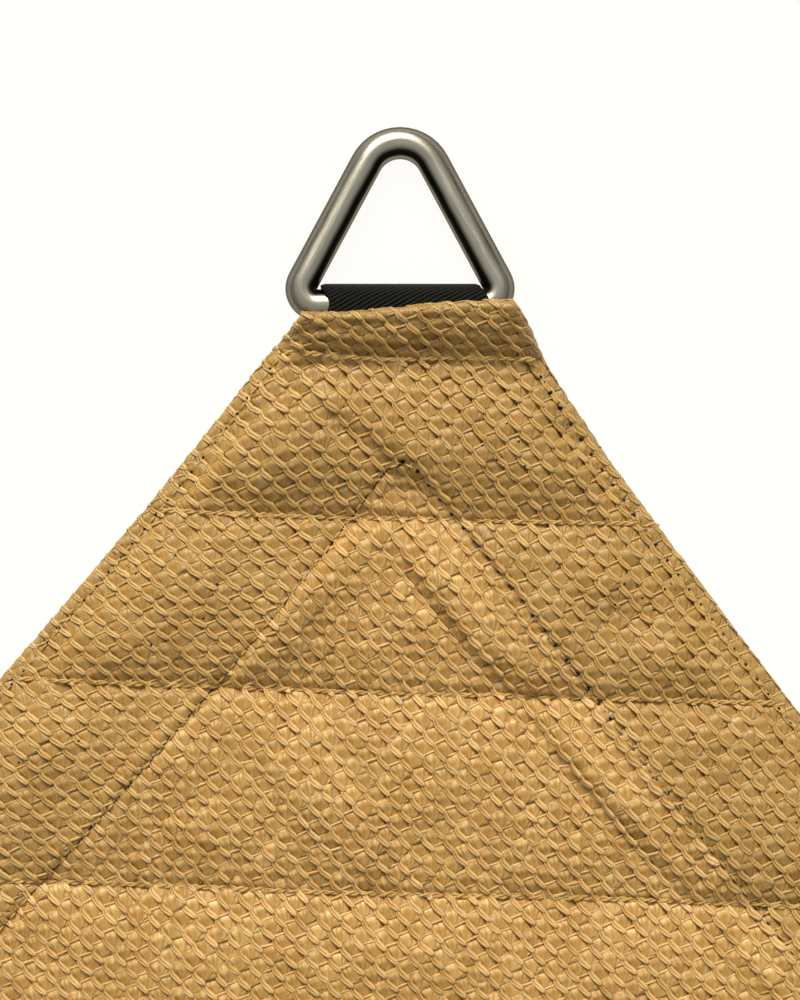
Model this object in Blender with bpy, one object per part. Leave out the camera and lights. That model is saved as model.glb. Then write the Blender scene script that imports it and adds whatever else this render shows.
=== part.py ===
"""Square shade sail of knitted cloth, 2 x 2 m from ring eye to ring eye, laid out flat.

Each corner has a triangle ring on a webbing loop, held between the sail cloth and a
reinforcement patch that rows of stitching quilt to it. All sizes are in millimetres and
become metres where a mesh is made. +Z is up, the sides lie along X and Y, and the
origin is the centre of the sail on the surface that it lies on.

A corner has its own frame: `across` runs along the rows of stitching, to the right when
the ring points up, and `down` runs from the tip along the sail's diagonal to its centre.
"""

import math

import bpy
import numpy as np
from mathutils import Vector
from mathutils.geometry import delaunay_2d_cdt

MM = 0.001

# The sail.
RING_EYE_SPACING = 2000.0
CORNERS = 4
CLOTH_THICK = 1.5
HEM_THICK = 2.6
TIP_THICK = 2.0
EDGE_THICK = 1.5
HEM_WIDTH = 40.0
HEM_EXTRA_AT_TIP = 3.2
HEM_EXTRA_LENGTH = 45.0
RIM = 5.0
RECESS = 9.0
SEAM_STEP = 3.5
SHARP_ANGLE = 35.0
WELD = 1e-4

# The corner's outline: half of its width at the tip, and how its hollow sides run.
TIP_HALF_WIDTH = 26.0
TIP_SLANT = 2.2
TIP_SLANT_REACH = 27.5
MID_ANGLE = 45.0
HOLLOW_ANGLE = 4.6
FLARE_ANGLE = 5.9
FLARE_LENGTH = 90.0

# Rows of stitching across the corner, and how far the cloth puffs up between them.
ROWS_DOWN = (11.7, 52.6, 96.2, 146.6, 194.6)
PUFF_HEIGHTS = (1.9, 3.0, 3.2, 2.6)
PUFF_FULLNESS = 0.62
PUFF_EDGE = 24.0
V_TIP_DOWN = 38.5

# The patch under the corner.
PATCH_THICK = 1.0
PATCH_TOP = 3.0
PATCH_BOTTOM = 200.0
PATCH_INSET = 10.0
PATCH_SIDES_PAST = 40.0
PATCH_ENDS = (PATCH_BOTTOM + 1.5, PATCH_BOTTOM + 7.0)
GAP = 0.3

# The ring, and how it sits: turned a little from the diagonal, its bar over the tip.
WIRE_RADIUS = 4.0
RING_HALF_WIDTH = 28.6
RING_LEG_ANGLE = 27.9
RING_TOP_BEND = 9.5
RING_FOOT_BEND = 4.25
RING_SKEW = 1.8
RING_OFFSET = 1.9
BAR_OUTWARD = 0.5
WIRE_SIDES = 12
TOP_BEND_STEPS = 9
FOOT_BEND_STEPS = 5

# The webbing loop: its front leg leans to the right as it goes under the tip.
WEBBING_THICK = 1.1
LOOP_HALF_WIDTH = 19.8
LOOP_LEFT_AT_TIP = -13.7
LOOP_RIGHT_AT_TIP = 24.5
LOOP_RIGHT_ON_BAR = 22.3
LOOP_LEFT_ON_BAR = -17.5
LEG_LANDS = 14.0
LEG_END = 33.0
LEG_CLEARED = 44.0
LOOP_STEPS = 12
MITRE_LIMIT = 0.5

# How the cloth comes down from the loop: past the landed leg, past the leg's end, and
# at its sides, where the tip stays open and the rim and edge close further down.
LANDED_FADE = 4.0
LEG_END_EASE = 1.5
EDGE_CLOSES = (4.0, 15.0)
RIM_CLOSES = (22.0, 32.0)

# Soft creases in the quilted cloth: a trough (or a ridge, where the height is above
# zero) along points given as (x, y) from the tip's middle, x right and y down, with the
# ring upright.
CREASES = (
    {"height": -1.3, "half_width": 4.5, "points": ((-1, 59), (10, 75), (22, 90), (31, 97))},
    {"height": -1.1, "half_width": 5.0, "points": ((31, 102), (45, 118), (60, 135), (72, 145))},
    {"height": 1.2, "half_width": 6.0, "points": ((6, 57), (17, 71), (30, 86), (38, 95))},
    {"height": 1.0, "half_width": 7.0, "points": ((-8, 55), (-24, 74), (-42, 94))},
    {"height": -1.2, "half_width": 5.0, "points": ((-12, 28), (0, 38), (13, 51))},
    {"height": 0.9, "half_width": 7.0, "points": ((-33, 105), (-20, 120), (-8, 136))},
)

# Spacing of the cloth's points.
CORNER_DEPTH = 215.0
CORNER_SPACING = 17.0
EDGE_SPACING = 110.0
FINE_SPACING = 4.2
FLANK = 5.5
TIP_STOPS = (0.5, 0.0, -0.5)
TIP_LINES = (2.5, 6.0, 15.5, 34.8)
TIP_CLOSEST = 2.4
TIP_INSET = 7.0
SEAM_CLOSEST = 3.0
RIM_CLOSEST = 4.5
RECESS_CLOSEST = 3.5
PATCH_END_CLOSEST = 1.0
FILL_CLOSEST = 0.72
FILL_BANDS = ((17.0, 0.0, 215.0), (32.0, 215.0, 290.0), (70.0, 290.0, 460.0), (150.0, 460.0, 1376.0))

# Levels above the surface that the sail lies on.
LOWER_LEG = PATCH_THICK + GAP
UPPER_LEG = LOWER_LEG + WEBBING_THICK + GAP
BAR_HEIGHT = LOWER_LEG + WEBBING_THICK + GAP + WIRE_RADIUS
LOOP_RADIUS = WIRE_RADIUS + GAP + WEBBING_THICK
ABOVE_LEGS = UPPER_LEG + WEBBING_THICK + GAP
ABOVE_LOOP = 0.45

RING_HEIGHT_ABOVE_BAR = RING_FOOT_BEND + RING_TOP_BEND + (
    (RING_HALF_WIDTH - WIRE_RADIUS - RING_FOOT_BEND) * math.cos(math.radians(RING_LEG_ANGLE))
    + RING_FOOT_BEND
    - RING_TOP_BEND
) / math.sin(math.radians(RING_LEG_ANGLE))
RING_EYE_OUTWARD = BAR_OUTWARD + RING_HEIGHT_ABOVE_BAR - WIRE_RADIUS
TIP_FROM_CENTRE = RING_EYE_SPACING / math.sqrt(2) - RING_EYE_OUTWARD


def smooth(low, high, value):
    """A soft step from 0 at low to 1 at high."""
    t = min(max((value - low) / (high - low), 0.0), 1.0)
    return t * t * (3 - 2 * t)


def to_corner(x, y):
    """A point of the upright ring's frame (x right, y down) as (across, down)."""
    turn = math.radians(RING_SKEW)
    across = x * math.cos(turn) + y * math.sin(turn) - RING_OFFSET
    down = -x * math.sin(turn) + y * math.cos(turn)
    return across, down


def from_corner(across, down):
    """The point (across, down) in the upright ring's frame, as x right and y down."""
    turn = math.radians(RING_SKEW)
    x = (across + RING_OFFSET) * math.cos(turn) - down * math.sin(turn)
    y = (across + RING_OFFSET) * math.sin(turn) + down * math.cos(turn)
    return x, y


def to_sail(corner, across, down):
    """The point (across, down) of one corner, in the sail's own X and Y."""
    turn = math.radians(45 + 90 * corner)
    out = TIP_FROM_CENTRE - down
    return (
        out * math.cos(turn) + across * math.sin(turn),
        out * math.sin(turn) - across * math.cos(turn),
    )


def from_sail(x, y):
    """The place (across, down) of a point of the sail in the corner nearest to it."""
    corner = math.floor(math.atan2(y, x) / (math.pi / 2)) % CORNERS
    turn = math.radians(45 + 90 * corner)
    across = x * math.sin(turn) - y * math.cos(turn)
    return across, TIP_FROM_CENTRE - (x * math.cos(turn) + y * math.sin(turn))


def tip_down(across):
    """How far down the tip's slanting edge lies."""
    reach = min(max(across / TIP_SLANT_REACH, -1.0), 1.0)
    return -TIP_SLANT * math.sin(reach * math.pi / 2)


def edge_angle(along):
    """The angle between the side edge and the diagonal, at a length along the edge."""
    half_edge = (TIP_FROM_CENTRE - TIP_HALF_WIDTH) / math.sqrt(2)
    hollow = HOLLOW_ANGLE * (1 - along / half_edge)
    flare = FLARE_ANGLE * math.exp(-along / FLARE_LENGTH)
    return math.radians(MID_ANGLE - hollow - flare)


def half_edge_points():
    """The right side edge from the tip to the middle of the side, with its normals."""
    across, down, along, step = TIP_HALF_WIDTH, 0.0, 0.0, 1.0
    points = []
    while across + down < TIP_FROM_CENTRE:
        angle = edge_angle(along)
        points.append((across, down, along, angle))
        across += step * math.sin(angle)
        down += step * math.cos(angle)
        along += step
    over = across + down - TIP_FROM_CENTRE
    points.append((across - over / 2, down - over / 2, along, math.radians(MID_ANGLE)))
    return points


HALF_EDGE = half_edge_points()
EDGE_LINE = np.array([(p[0], p[1]) for p in HALF_EDGE])


def thinned_edge():
    """The half edge with points close together in the corner and wide apart beyond."""
    chosen, last = [], -1e9
    for point in HALF_EDGE[:-1]:
        spacing = CORNER_SPACING if point[1] < CORNER_DEPTH else EDGE_SPACING
        if point[2] - last >= spacing and HALF_EDGE[-1][2] - point[2] > spacing / 2:
            chosen.append(point)
            last = point[2]
    return chosen + [HALF_EDGE[-1]]


def hem_width(along):
    """The width of the hem, a little wider at the corner."""
    return HEM_WIDTH + HEM_EXTRA_AT_TIP * math.exp(-along / HEM_EXTRA_LENGTH)


def inside(point, width):
    """A point of the half edge moved into the cloth, square to the edge."""
    across, down, _, angle = point
    return across - width * math.cos(angle), down + width * math.sin(angle)


def edge_distance(across, down):
    """How far (across, down) lies from the nearer side edge."""
    gaps = EDGE_LINE - np.array((abs(across), down))
    return float(np.sqrt((gaps * gaps).sum(axis=1)).min())


def loop_top(y):
    """The top of the webbing loop over the bar and down to where its leg lands."""
    centre = -BAR_OUTWARD
    run, drop = LEG_LANDS - centre, BAR_HEIGHT - (UPPER_LEG + WEBBING_THICK)
    slope = math.atan2(drop, run) + math.asin(LOOP_RADIUS / math.hypot(run, drop))
    leaves = centre + LOOP_RADIUS * math.sin(slope)
    if y < leaves:
        return BAR_HEIGHT + math.sqrt(max(LOOP_RADIUS**2 - (y - centre) ** 2, 0.0))
    if y < LEG_LANDS:
        return UPPER_LEG + WEBBING_THICK + (LEG_LANDS - y) * math.tan(slope)
    return UPPER_LEG + WEBBING_THICK


def clearance(across, down):
    """The level that the cloth's underside keeps above the loop, its legs and the patch."""
    y = from_corner(across, down)[1]
    if y < LEG_LANDS:
        return loop_top(y) + ABOVE_LOOP
    landed = smooth(LEG_LANDS, LEG_LANDS + LANDED_FADE, y)
    over_legs = ABOVE_LEGS + (ABOVE_LOOP - GAP) * (1 - landed)
    over_patch = PATCH_THICK + GAP
    level = over_legs + (over_patch - over_legs) * smooth(LEG_END + LEG_END_EASE, LEG_CLEARED, y)
    return level * (1 - smooth(*PATCH_ENDS, down))


def side_share(distance, down):
    """How much of that level holds near the side edge, which comes down to the surface."""
    at_edge = 1 - smooth(*EDGE_CLOSES, down)
    at_rim = 1 - smooth(*RIM_CLOSES, down)
    stops = (0.0, RIM, RECESS)
    return float(np.interp(distance, stops, (at_edge, at_rim, 1.0)))


def crease_height(across, down):
    """The sum of the soft creases at a point."""
    here = Vector(from_corner(across, down))
    total = 0.0
    for crease in CREASES:
        points = [Vector(p) for p in crease["points"]]
        nearest = 1e9
        for start, end in zip(points, points[1:]):
            run = end - start
            share = min(max((here - start).dot(run) / run.length_squared, 0.0), 1.0)
            nearest = min(nearest, (here - start - run * share).length)
        total += crease["height"] * math.exp(-((nearest / crease["half_width"]) ** 2))
    return total


def puff(across, down, distance):
    """How high the cloth puffs up between two rows of stitching, creases included."""
    for top, bottom, height in zip(ROWS_DOWN, ROWS_DOWN[1:], PUFF_HEIGHTS):
        if top < down < bottom:
            arch = math.sin(math.pi * (down - top) / (bottom - top)) ** PUFF_FULLNESS
            side = smooth(0.0, PUFF_EDGE, distance)
            return arch * side * (height + crease_height(across, down))
    return 0.0


def levels(across, down, distance):
    """The top and the underside of the cloth at a point."""
    in_corner = down < CORNER_DEPTH
    under = clearance(across, down) * side_share(distance, down) if in_corner else 0.0
    hem = hem_width(0.0 if down < V_TIP_DOWN else down)
    inner = smooth(hem, hem + SEAM_STEP, distance)
    edge = smooth(0.0, RIM, distance)
    full = TIP_THICK + (HEM_THICK - TIP_THICK) * smooth(LEG_LANDS, LEG_END, down)
    thick = EDGE_THICK + (full - EDGE_THICK) * edge
    thick += (CLOTH_THICK - full) * inner
    swell = puff(across, down, distance) if in_corner else 0.0
    under += max(swell, 0.0) * inner
    over = under + thick + max(swell, 0.0) * (1 - inner) + min(swell, 0.0)
    return over, under


class CornerPoints:
    """The inner points of one corner's share of the cloth, most important first.

    The points keep a distance from each other, and those of a seam, row or rim are
    linked in order, so that the cloth's faces follow it.
    """

    def __init__(self, outline):
        self.outline = outline
        self.points = []
        self.links = []

    def add(self, across, down, spacing):
        """Adds a point unless the outline or another point is nearer than spacing."""
        known = np.array(self.outline + self.points)
        gaps = np.hypot(known[:, 0] - across, known[:, 1] - down)
        if gaps.min() < spacing:
            return None
        self.points.append((across, down))
        return len(self.points) - 1

    def add_line(self, line, spacing):
        """Adds the points of a line and links each to the one before it."""
        added = [self.add(across, down, spacing) for across, down in line]
        kept = [index for index in added if index is not None]
        self.links += list(zip(kept, kept[1:]))

    def add_row(self, down, inset, step, spacing):
        """Adds a row of points across the corner, as far as inset from its sides."""
        reach = row_reach(down, inset)
        self.add_line([(across, down) for across in stations(-reach, reach, step)], spacing)

    def add_band(self, spacing, low, high):
        """Fills the cloth between two depths with an even pattern of points."""
        for line, down in enumerate(np.arange(low, high, spacing * math.sqrt(3) / 2)):
            reach = min(row_reach(down, RECESS), TIP_FROM_CENTRE - down)
            half = int(reach / spacing) + 1
            for i in range(-half, half + 1):
                across = (i + 0.5 * (line % 2)) * spacing
                if abs(across) < reach and down > TIP_LINES[1]:
                    self.add(across, float(down), spacing * FILL_CLOSEST)


def stations(low, high, spacing):
    """Evenly spaced values from low to high, both included."""
    count = max(1, math.ceil((high - low) / spacing))
    return [low + (high - low) * i / count for i in range(count + 1)]


def row_reach(down, inset):
    """How far a row runs to each side before it comes within inset of the side edge."""
    along = float(np.interp(down, EDGE_LINE[:, 1], [p[2] for p in HALF_EDGE]))
    reach = float(np.interp(down, EDGE_LINE[:, 1], EDGE_LINE[:, 0]))
    return reach - inset / math.cos(edge_angle(along))


def slanted(across, down):
    """A point near the tip, moved with the tip's slanting edge."""
    share = 1 - smooth(RIM, LEG_LANDS, down)
    return across, down + tip_down(across) * share


def edge_line(width, top, bottom):
    """The thinned edge moved into the cloth by width(along), between two depths."""
    line = [inside(point, width(point[2])) for point in thinned_edge()[:-1]]
    return [(across, down) for across, down in line if across > 0 and top < down < bottom]


def corner_points():
    """Sets out the points of a corner and the lines that link them."""
    points = CornerPoints([slanted(p[0] * side, p[1]) for p in thinned_edge() for side in (1, -1)])
    for down in PATCH_ENDS:
        points.add_row(down, RIM, CORNER_SPACING, PATCH_END_CLOSEST)
    rims = ((RIM, TIP_FROM_CENTRE, RIM_CLOSEST), (RECESS, CORNER_DEPTH, RECESS_CLOSEST))
    for side in (1, -1):
        for width, bottom, spacing in rims:
            line = edge_line(lambda along: width, -RIM, bottom)
            points.add_line([slanted(side * across, down) for across, down in line], spacing)
    points.add(0.0, V_TIP_DOWN, FINE_SPACING)
    for side in (1, -1):
        line = edge_line(hem_width, V_TIP_DOWN, TIP_FROM_CENTRE)
        points.add_line([(side * across, down) for across, down in line], FINE_SPACING)
        line = edge_line(lambda along: hem_width(along) + SEAM_STEP, V_TIP_DOWN, TIP_FROM_CENTRE)
        points.add_line([(side * across, down) for across, down in line], SEAM_CLOSEST)
    for down in ROWS_DOWN:
        points.add_row(down, RECESS, CORNER_SPACING, FINE_SPACING)
    for down in TIP_LINES:
        reach = row_reach(down, TIP_INSET)
        line = [slanted(across, down) for across in stations(-reach, reach, CORNER_SPACING)]
        points.add_line(line, TIP_CLOSEST)
    for crease in CREASES:
        line = [to_corner(x, y) for x, y in half_way_too(crease["points"])]
        points.add_line(line, FINE_SPACING)
    for down in ROWS_DOWN[1:]:
        points.add_row(down - FLANK, RECESS, CORNER_SPACING, FINE_SPACING)
        points.add_row(down + FLANK, RECESS, CORNER_SPACING, FINE_SPACING)
    for spacing, low, high in FILL_BANDS:
        points.add_band(spacing, low, high)
    return points


def half_way_too(points):
    """The points of a line with the middle of each stretch put in."""
    middles = [((a[0] + b[0]) / 2, (a[1] + b[1]) / 2) for a, b in zip(points, points[1:])]
    return [spot for pair in zip(points, middles) for spot in pair] + [points[-1]]


def sail_outline():
    """The corners' outline points in order round the sail, as (corner, across, down)."""
    edge = thinned_edge()
    loop = []
    for corner in range(CORNERS):
        right = [slanted(point[0], point[1]) for point in reversed(edge)]
        tip = [slanted(TIP_HALF_WIDTH * share, 0.0) for share in TIP_STOPS]
        left = [slanted(-point[0], point[1]) for point in edge[:-1]]
        loop += [(corner, across, down) for across, down in right + tip + left]
    return loop


def mesh_object(name, points, faces, material):
    """A named object made of points in millimetres."""
    mesh = bpy.data.meshes.new(name)
    mesh.from_pydata([Vector(p) * MM for p in points], [], faces)
    mesh.materials.append(material)
    mesh.validate()
    mesh.shade_smooth()
    mesh.set_sharp_from_angle(angle=math.radians(SHARP_ANGLE))
    item = bpy.data.objects.new(name, mesh)
    bpy.context.scene.collection.objects.link(item)
    return item


def make_cloth(material):
    """The sail cloth, hem and quilted corners included, as one closed sheet."""
    outline = sail_outline()
    inner = corner_points()
    spots = outline + [(corner, *spot) for corner in range(CORNERS) for spot in inner.points]
    links = []
    for corner in range(CORNERS):
        first = len(outline) + corner * len(inner.points)
        links += [(first + a, first + b) for a, b in inner.links]
    flat = [Vector(to_sail(*spot)) for spot in spots]
    loop = list(range(len(outline)))
    out_points, _, triangles, origins, _, _ = delaunay_2d_cdt(flat, links, [loop], 1, WELD)
    top, bottom = [], []
    for point, sources in zip(out_points, origins):
        across, down = from_sail(point.x, point.y)
        on_edge = any(source < len(outline) for source in sources)
        distance = 0.0 if on_edge else edge_distance(across, down)
        over, under = levels(across, down, distance)
        top.append((point.x, point.y, over))
        bottom.append((point.x, point.y, under))
    count = len(out_points)
    faces = [tuple(t) for t in triangles]
    faces += [tuple(i + count for i in reversed(t)) for t in triangles]
    uses = {}
    for triangle in triangles:
        for a, b in zip(triangle, triangle[1:] + triangle[:1]):
            uses[(a, b)] = True
    for a, b in uses:
        if (b, a) not in uses:
            faces.append((b, a, a + count, b + count))
    return mesh_object("sail_cloth", top + bottom, faces, material)


def make_patch(corner, material):
    """The flat patch of the same cloth under one corner, square at its lower end."""
    bottom = PATCH_BOTTOM + PATCH_SIDES_PAST
    line = np.array([inside(point, PATCH_INSET) for point in HALF_EDGE if point[1] < bottom])
    downs = stations(PATCH_TOP, PATCH_BOTTOM, CORNER_SPACING)
    points, faces = [], []
    for level in (0.0, PATCH_THICK):
        for down in downs:
            reach = float(np.interp(down, line[:, 1], line[:, 0]))
            if down < line[0, 1]:
                reach = line[0, 0]
            for side in (-1, 1):
                points.append((*to_sail(corner, side * reach, down), level))
    rows = len(downs)
    for i in range(rows - 1):
        a, b, c, d = 2 * i, 2 * i + 1, 2 * i + 3, 2 * i + 2
        faces.append((a, b, c, d))
        faces.append(tuple(v + 2 * rows for v in (d, c, b, a)))
        faces.append((a, d, d + 2 * rows, a + 2 * rows))
        faces.append((c, b, b + 2 * rows, c + 2 * rows))
    faces.append((1, 0, 2 * rows, 2 * rows + 1))
    last = 2 * rows - 2
    faces.append((last, last + 1, last + 1 + 2 * rows, last + 2 * rows))
    return mesh_object(f"patch_{corner + 1}", points, faces, material)


def ring_line():
    """The ring's centre line as (x, outward from the bar, heading), anticlockwise."""
    leg = math.radians(RING_LEG_ANGLE)
    foot_x = RING_HALF_WIDTH - WIRE_RADIUS - RING_FOOT_BEND
    top_y = RING_HEIGHT_ABOVE_BAR - RING_TOP_BEND
    bends = (
        (foot_x, RING_FOOT_BEND, RING_FOOT_BEND, -math.pi / 2, leg, FOOT_BEND_STEPS),
        (0.0, top_y, RING_TOP_BEND, leg, math.pi - leg, TOP_BEND_STEPS),
        (-foot_x, RING_FOOT_BEND, RING_FOOT_BEND, math.pi - leg, 1.5 * math.pi, FOOT_BEND_STEPS),
    )
    line = []
    for x, y, radius, start, end, steps in bends:
        for i in range(steps + 1):
            angle = start + (end - start) * i / steps
            line.append((x + radius * math.cos(angle), y + radius * math.sin(angle), angle))
    return line


def make_ring(corner, material):
    """The triangle ring of round wire, its bar in the loop and its top on the surface."""
    tilt = math.asin((BAR_HEIGHT - WIRE_RADIUS) / RING_HEIGHT_ABOVE_BAR)
    line = ring_line()
    points, faces = [], []
    for x, outward, angle in line:
        for side in range(WIRE_SIDES):
            turn = 2 * math.pi * (side + 0.5) / WIRE_SIDES
            reach = WIRE_RADIUS * math.cos(turn)
            rise = WIRE_RADIUS * math.sin(turn)
            flat_x = x + reach * math.cos(angle)
            flat_out = outward + reach * math.sin(angle)
            out = flat_out * math.cos(tilt) + rise * math.sin(tilt)
            height = BAR_HEIGHT - flat_out * math.sin(tilt) + rise * math.cos(tilt)
            points.append((*to_sail(corner, *to_corner(flat_x, -BAR_OUTWARD - out)), height))
    turns = len(line)
    for i in range(turns):
        for side in range(WIRE_SIDES):
            a = i * WIRE_SIDES + side
            b = i * WIRE_SIDES + (side + 1) % WIRE_SIDES
            c = ((i + 1) % turns) * WIRE_SIDES + (side + 1) % WIRE_SIDES
            d = ((i + 1) % turns) * WIRE_SIDES + side
            faces.append((a, d, c, b))
    return mesh_object(f"ring_{corner + 1}", points, faces, material)


def loop_path():
    """The webbing's middle from its lower leg round the bar to its upper leg.

    Each entry is y down, height, and the left and right edges of the webbing there.
    """
    centre, middle = -BAR_OUTWARD, LOOP_RADIUS - WEBBING_THICK / 2
    low, high = LOWER_LEG + WEBBING_THICK / 2, UPPER_LEG + WEBBING_THICK / 2
    run, drop = LEG_LANDS - centre, BAR_HEIGHT - high
    slope = math.atan2(drop, run) + math.asin(middle / math.hypot(run, drop))
    path = [(LEG_END, low, -LOOP_HALF_WIDTH, LOOP_HALF_WIDTH)]
    sweep = math.pi + slope
    for i in range(LOOP_STEPS + 1):
        angle = -math.pi / 2 - sweep * i / LOOP_STEPS
        y, z = centre + middle * math.cos(angle), BAR_HEIGHT + middle * math.sin(angle)
        over = max(math.sin(angle), 0.0) ** 3 if angle < -math.pi else 0.0
        left = -LOOP_HALF_WIDTH + (LOOP_LEFT_ON_BAR + LOOP_HALF_WIDTH) * over
        right = LOOP_HALF_WIDTH + (LOOP_RIGHT_ON_BAR - LOOP_HALF_WIDTH) * over
        path.append((y, z, left, right))
    path.append((LEG_LANDS, high, LOOP_LEFT_AT_TIP, LOOP_RIGHT_AT_TIP))
    path.append((LEG_END, high, LOOP_LEFT_AT_TIP, LOOP_RIGHT_AT_TIP))
    return path


def make_loop(corner, material):
    """The webbing loop that ties the ring's bar into the corner."""
    path = loop_path()
    points, faces = [], []
    places = [Vector((y, z)) for y, z, _, _ in path]
    runs = [(end - start).normalized() for start, end in zip(places, places[1:])]
    for i, (y, z, left, right) in enumerate(path):
        back, ahead = runs[max(i - 1, 0)], runs[min(i, len(runs) - 1)]
        along = (back + ahead).normalized()
        reach = WEBBING_THICK / 2 / max(along.dot(ahead), MITRE_LIMIT)
        normal = Vector((-along.y, along.x)) * reach
        for edge in (left, right):
            for side in (1, -1):
                spot = to_corner(edge, y + normal.x * side)
                points.append((*to_sail(corner, *spot), z + normal.y * side))
    for i in range(len(path) - 1):
        k, n = 4 * i, 4 * (i + 1)
        faces.append((n, n + 2, k + 2, k))
        faces.append((n + 3, n + 1, k + 1, k + 3))
        faces.append((n + 1, n, k, k + 1))
        faces.append((n + 2, n + 3, k + 3, k + 2))
    last = 4 * (len(path) - 1)
    faces.append((2, 3, 1, 0))
    faces.append((last + 1, last + 3, last + 2, last))
    return mesh_object(f"webbing_loop_{corner + 1}", points, faces, material)


def finish(name, colour, roughness, metallic=0.0):
    """A plain finish with a colour, given as linear red, green and blue."""
    material = bpy.data.materials.new(name)
    material.use_nodes = True
    shader = material.node_tree.nodes["Principled BSDF"]
    shader.inputs["Base Color"].default_value = (*colour, 1.0)
    shader.inputs["Roughness"].default_value = roughness
    shader.inputs["Metallic"].default_value = metallic
    material.diffuse_color = (*colour, 1.0)
    return material


def build():
    """Makes the whole sail in an empty scene."""
    for item in list(bpy.data.objects):
        bpy.data.objects.remove(item, do_unlink=True)
    knit = finish("sand_knit", (0.53, 0.30, 0.10), 0.6)
    steel = finish("brushed_stainless", (0.48, 0.45, 0.40), 0.3, 1.0)
    webbing = finish("black_webbing", (0.008, 0.008, 0.009), 0.75)
    make_cloth(knit)
    for corner in range(CORNERS):
        make_patch(corner, knit)
        make_ring(corner, steel)
        make_loop(corner, webbing)


build()
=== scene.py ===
"""The looks of a square knitted shade sail, laid out flat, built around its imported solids.

The sail is a raschel knit of plastic yarn and film. Each corner is quilted to a patch of
the same knit, and holds a triangle ring of steel wire on a loop of black webbing. Lengths
are in millimetres and become metres where a mesh is made. A corner has its own frame:
`across` runs along the rows of stitching and `down` from the tip to the sail's centre.
With the ring upright, the same place is x to the right and y down.
"""

import logging
import math
from dataclasses import dataclass, field
from enum import Enum
from functools import cached_property, partial

import bpy
import numpy as np
from bpy.types import Material, Mesh, Node, NodeSocket, NodeTree, Object
from mathutils import Matrix, Vector
from mathutils.geometry import delaunay_2d_cdt
from mathutils.kdtree import KDTree


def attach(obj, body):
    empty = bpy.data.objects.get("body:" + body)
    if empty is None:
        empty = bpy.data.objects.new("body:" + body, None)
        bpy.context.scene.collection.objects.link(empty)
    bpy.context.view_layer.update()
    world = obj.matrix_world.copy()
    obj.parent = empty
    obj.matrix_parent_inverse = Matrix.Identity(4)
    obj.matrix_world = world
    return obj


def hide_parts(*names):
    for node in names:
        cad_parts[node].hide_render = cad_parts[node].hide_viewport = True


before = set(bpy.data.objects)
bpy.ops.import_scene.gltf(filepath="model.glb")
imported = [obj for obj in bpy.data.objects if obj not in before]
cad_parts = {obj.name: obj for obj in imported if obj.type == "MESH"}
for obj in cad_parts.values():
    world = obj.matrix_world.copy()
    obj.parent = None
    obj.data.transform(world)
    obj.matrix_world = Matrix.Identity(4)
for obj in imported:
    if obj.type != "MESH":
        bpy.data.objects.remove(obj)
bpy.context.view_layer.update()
LOG = logging.getLogger("shade_sail")

MM = 0.001
CORNERS = 4
SHOWN_CORNER = 0
Array = np.ndarray


# ---------------------------------------------------------------- small helpers


def smooth(low: float, high: float, value: Array | float) -> Array:
    """A soft step from 0 at low to 1 at high.

    Args:
        low: where the step starts.
        high: where it ends.
        value: the numbers to step over.

    Returns:
        The step's height for each value.
    """
    t = np.clip((np.asarray(value, float) - low) / (high - low), 0.0, 1.0)
    return t * t * (3 - 2 * t)


def bell(value: Array, middle: float, width: float) -> Array:
    """A soft bump of height 1 about middle, as wide as width to each side."""
    return np.exp(-(((value - middle) / width) ** 2))


def linear(code: str) -> tuple[float, float, float, float]:
    """Turns an sRGB hex code into a linear colour.

    Args:
        code: six hex digits, such as "d8b078".

    Returns:
        Linear red, green and blue, and an alpha of 1.
    """
    parts = [int(code[i : i + 2], 16) / 255 for i in (0, 2, 4)]
    shades = [c / 12.92 if c <= 0.04045 else ((c + 0.055) / 1.055) ** 2.4 for c in parts]
    return (*shades, 1.0)


def set_inputs(item: Node, *values: object, **named: object) -> None:
    """Links or sets a node's inputs.

    Args:
        item: the node.
        values: its first inputs in order, each a socket to link or a value to set.
        named: other inputs by name or identifier, with _ for a space.
    """
    pairs = list(zip(item.inputs, values))
    for name, value in named.items():
        socket = item.inputs.get(name.replace("_", " "))
        pairs.append((socket or next(one for one in item.inputs if one.identifier == name), value))
    for socket, value in pairs:
        if isinstance(value, NodeSocket):
            item.id_data.links.new(value, socket)
        else:
            socket.default_value = value


def add_node(
    tree: NodeTree, kind: str, *values: object, out: int | str = 0, **named: object
) -> NodeSocket | None:
    """Adds a node to a tree with its settings and its links.

    Args:
        tree: the material's, world's or geometry's node tree.
        kind: the node's type without its family, or just the operation of a Math node.
        values: its first inputs in order.
        out: the number or name of the output to return.
        named: settings in small letters, and other inputs by name with a capital.

    Returns:
        That output, or None where the node has no outputs.
    """
    short = "Math" if kind.isupper() else kind
    types = (family + short for family in ("ShaderNode", "GeometryNode", "FunctionNode", "Node"))
    item = tree.nodes.new(next(one for one in types if hasattr(bpy.types, one)))
    if kind.isupper():
        item.operation = kind
    for name in filter(str.islower, named):
        setattr(item, name, named[name])
    set_inputs(item, *values, **{name: value for name, value in named.items() if not name.islower()})
    return item.outputs[out] if item.outputs else None


def layered(tree: NodeTree, *layers: tuple) -> NodeSocket:
    """Lays colours over each other.

    Args:
        tree: the material's node tree.
        layers: for each, how much of the upper colour shows, then the lower and the upper
            colour, as a hex code or a socket, or None for the colour so far.

    Returns:
        The colour of them all.
    """
    colour = None
    for share, *pair in layers:
        lower, upper = (linear(one) if isinstance(one, str) else one or colour for one in pair)
        inputs = {"A_Color": lower, "B_Color": upper}
        colour = add_node(tree, "Mix", share, out=2, data_type="RGBA", **inputs)
    return colour


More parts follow.
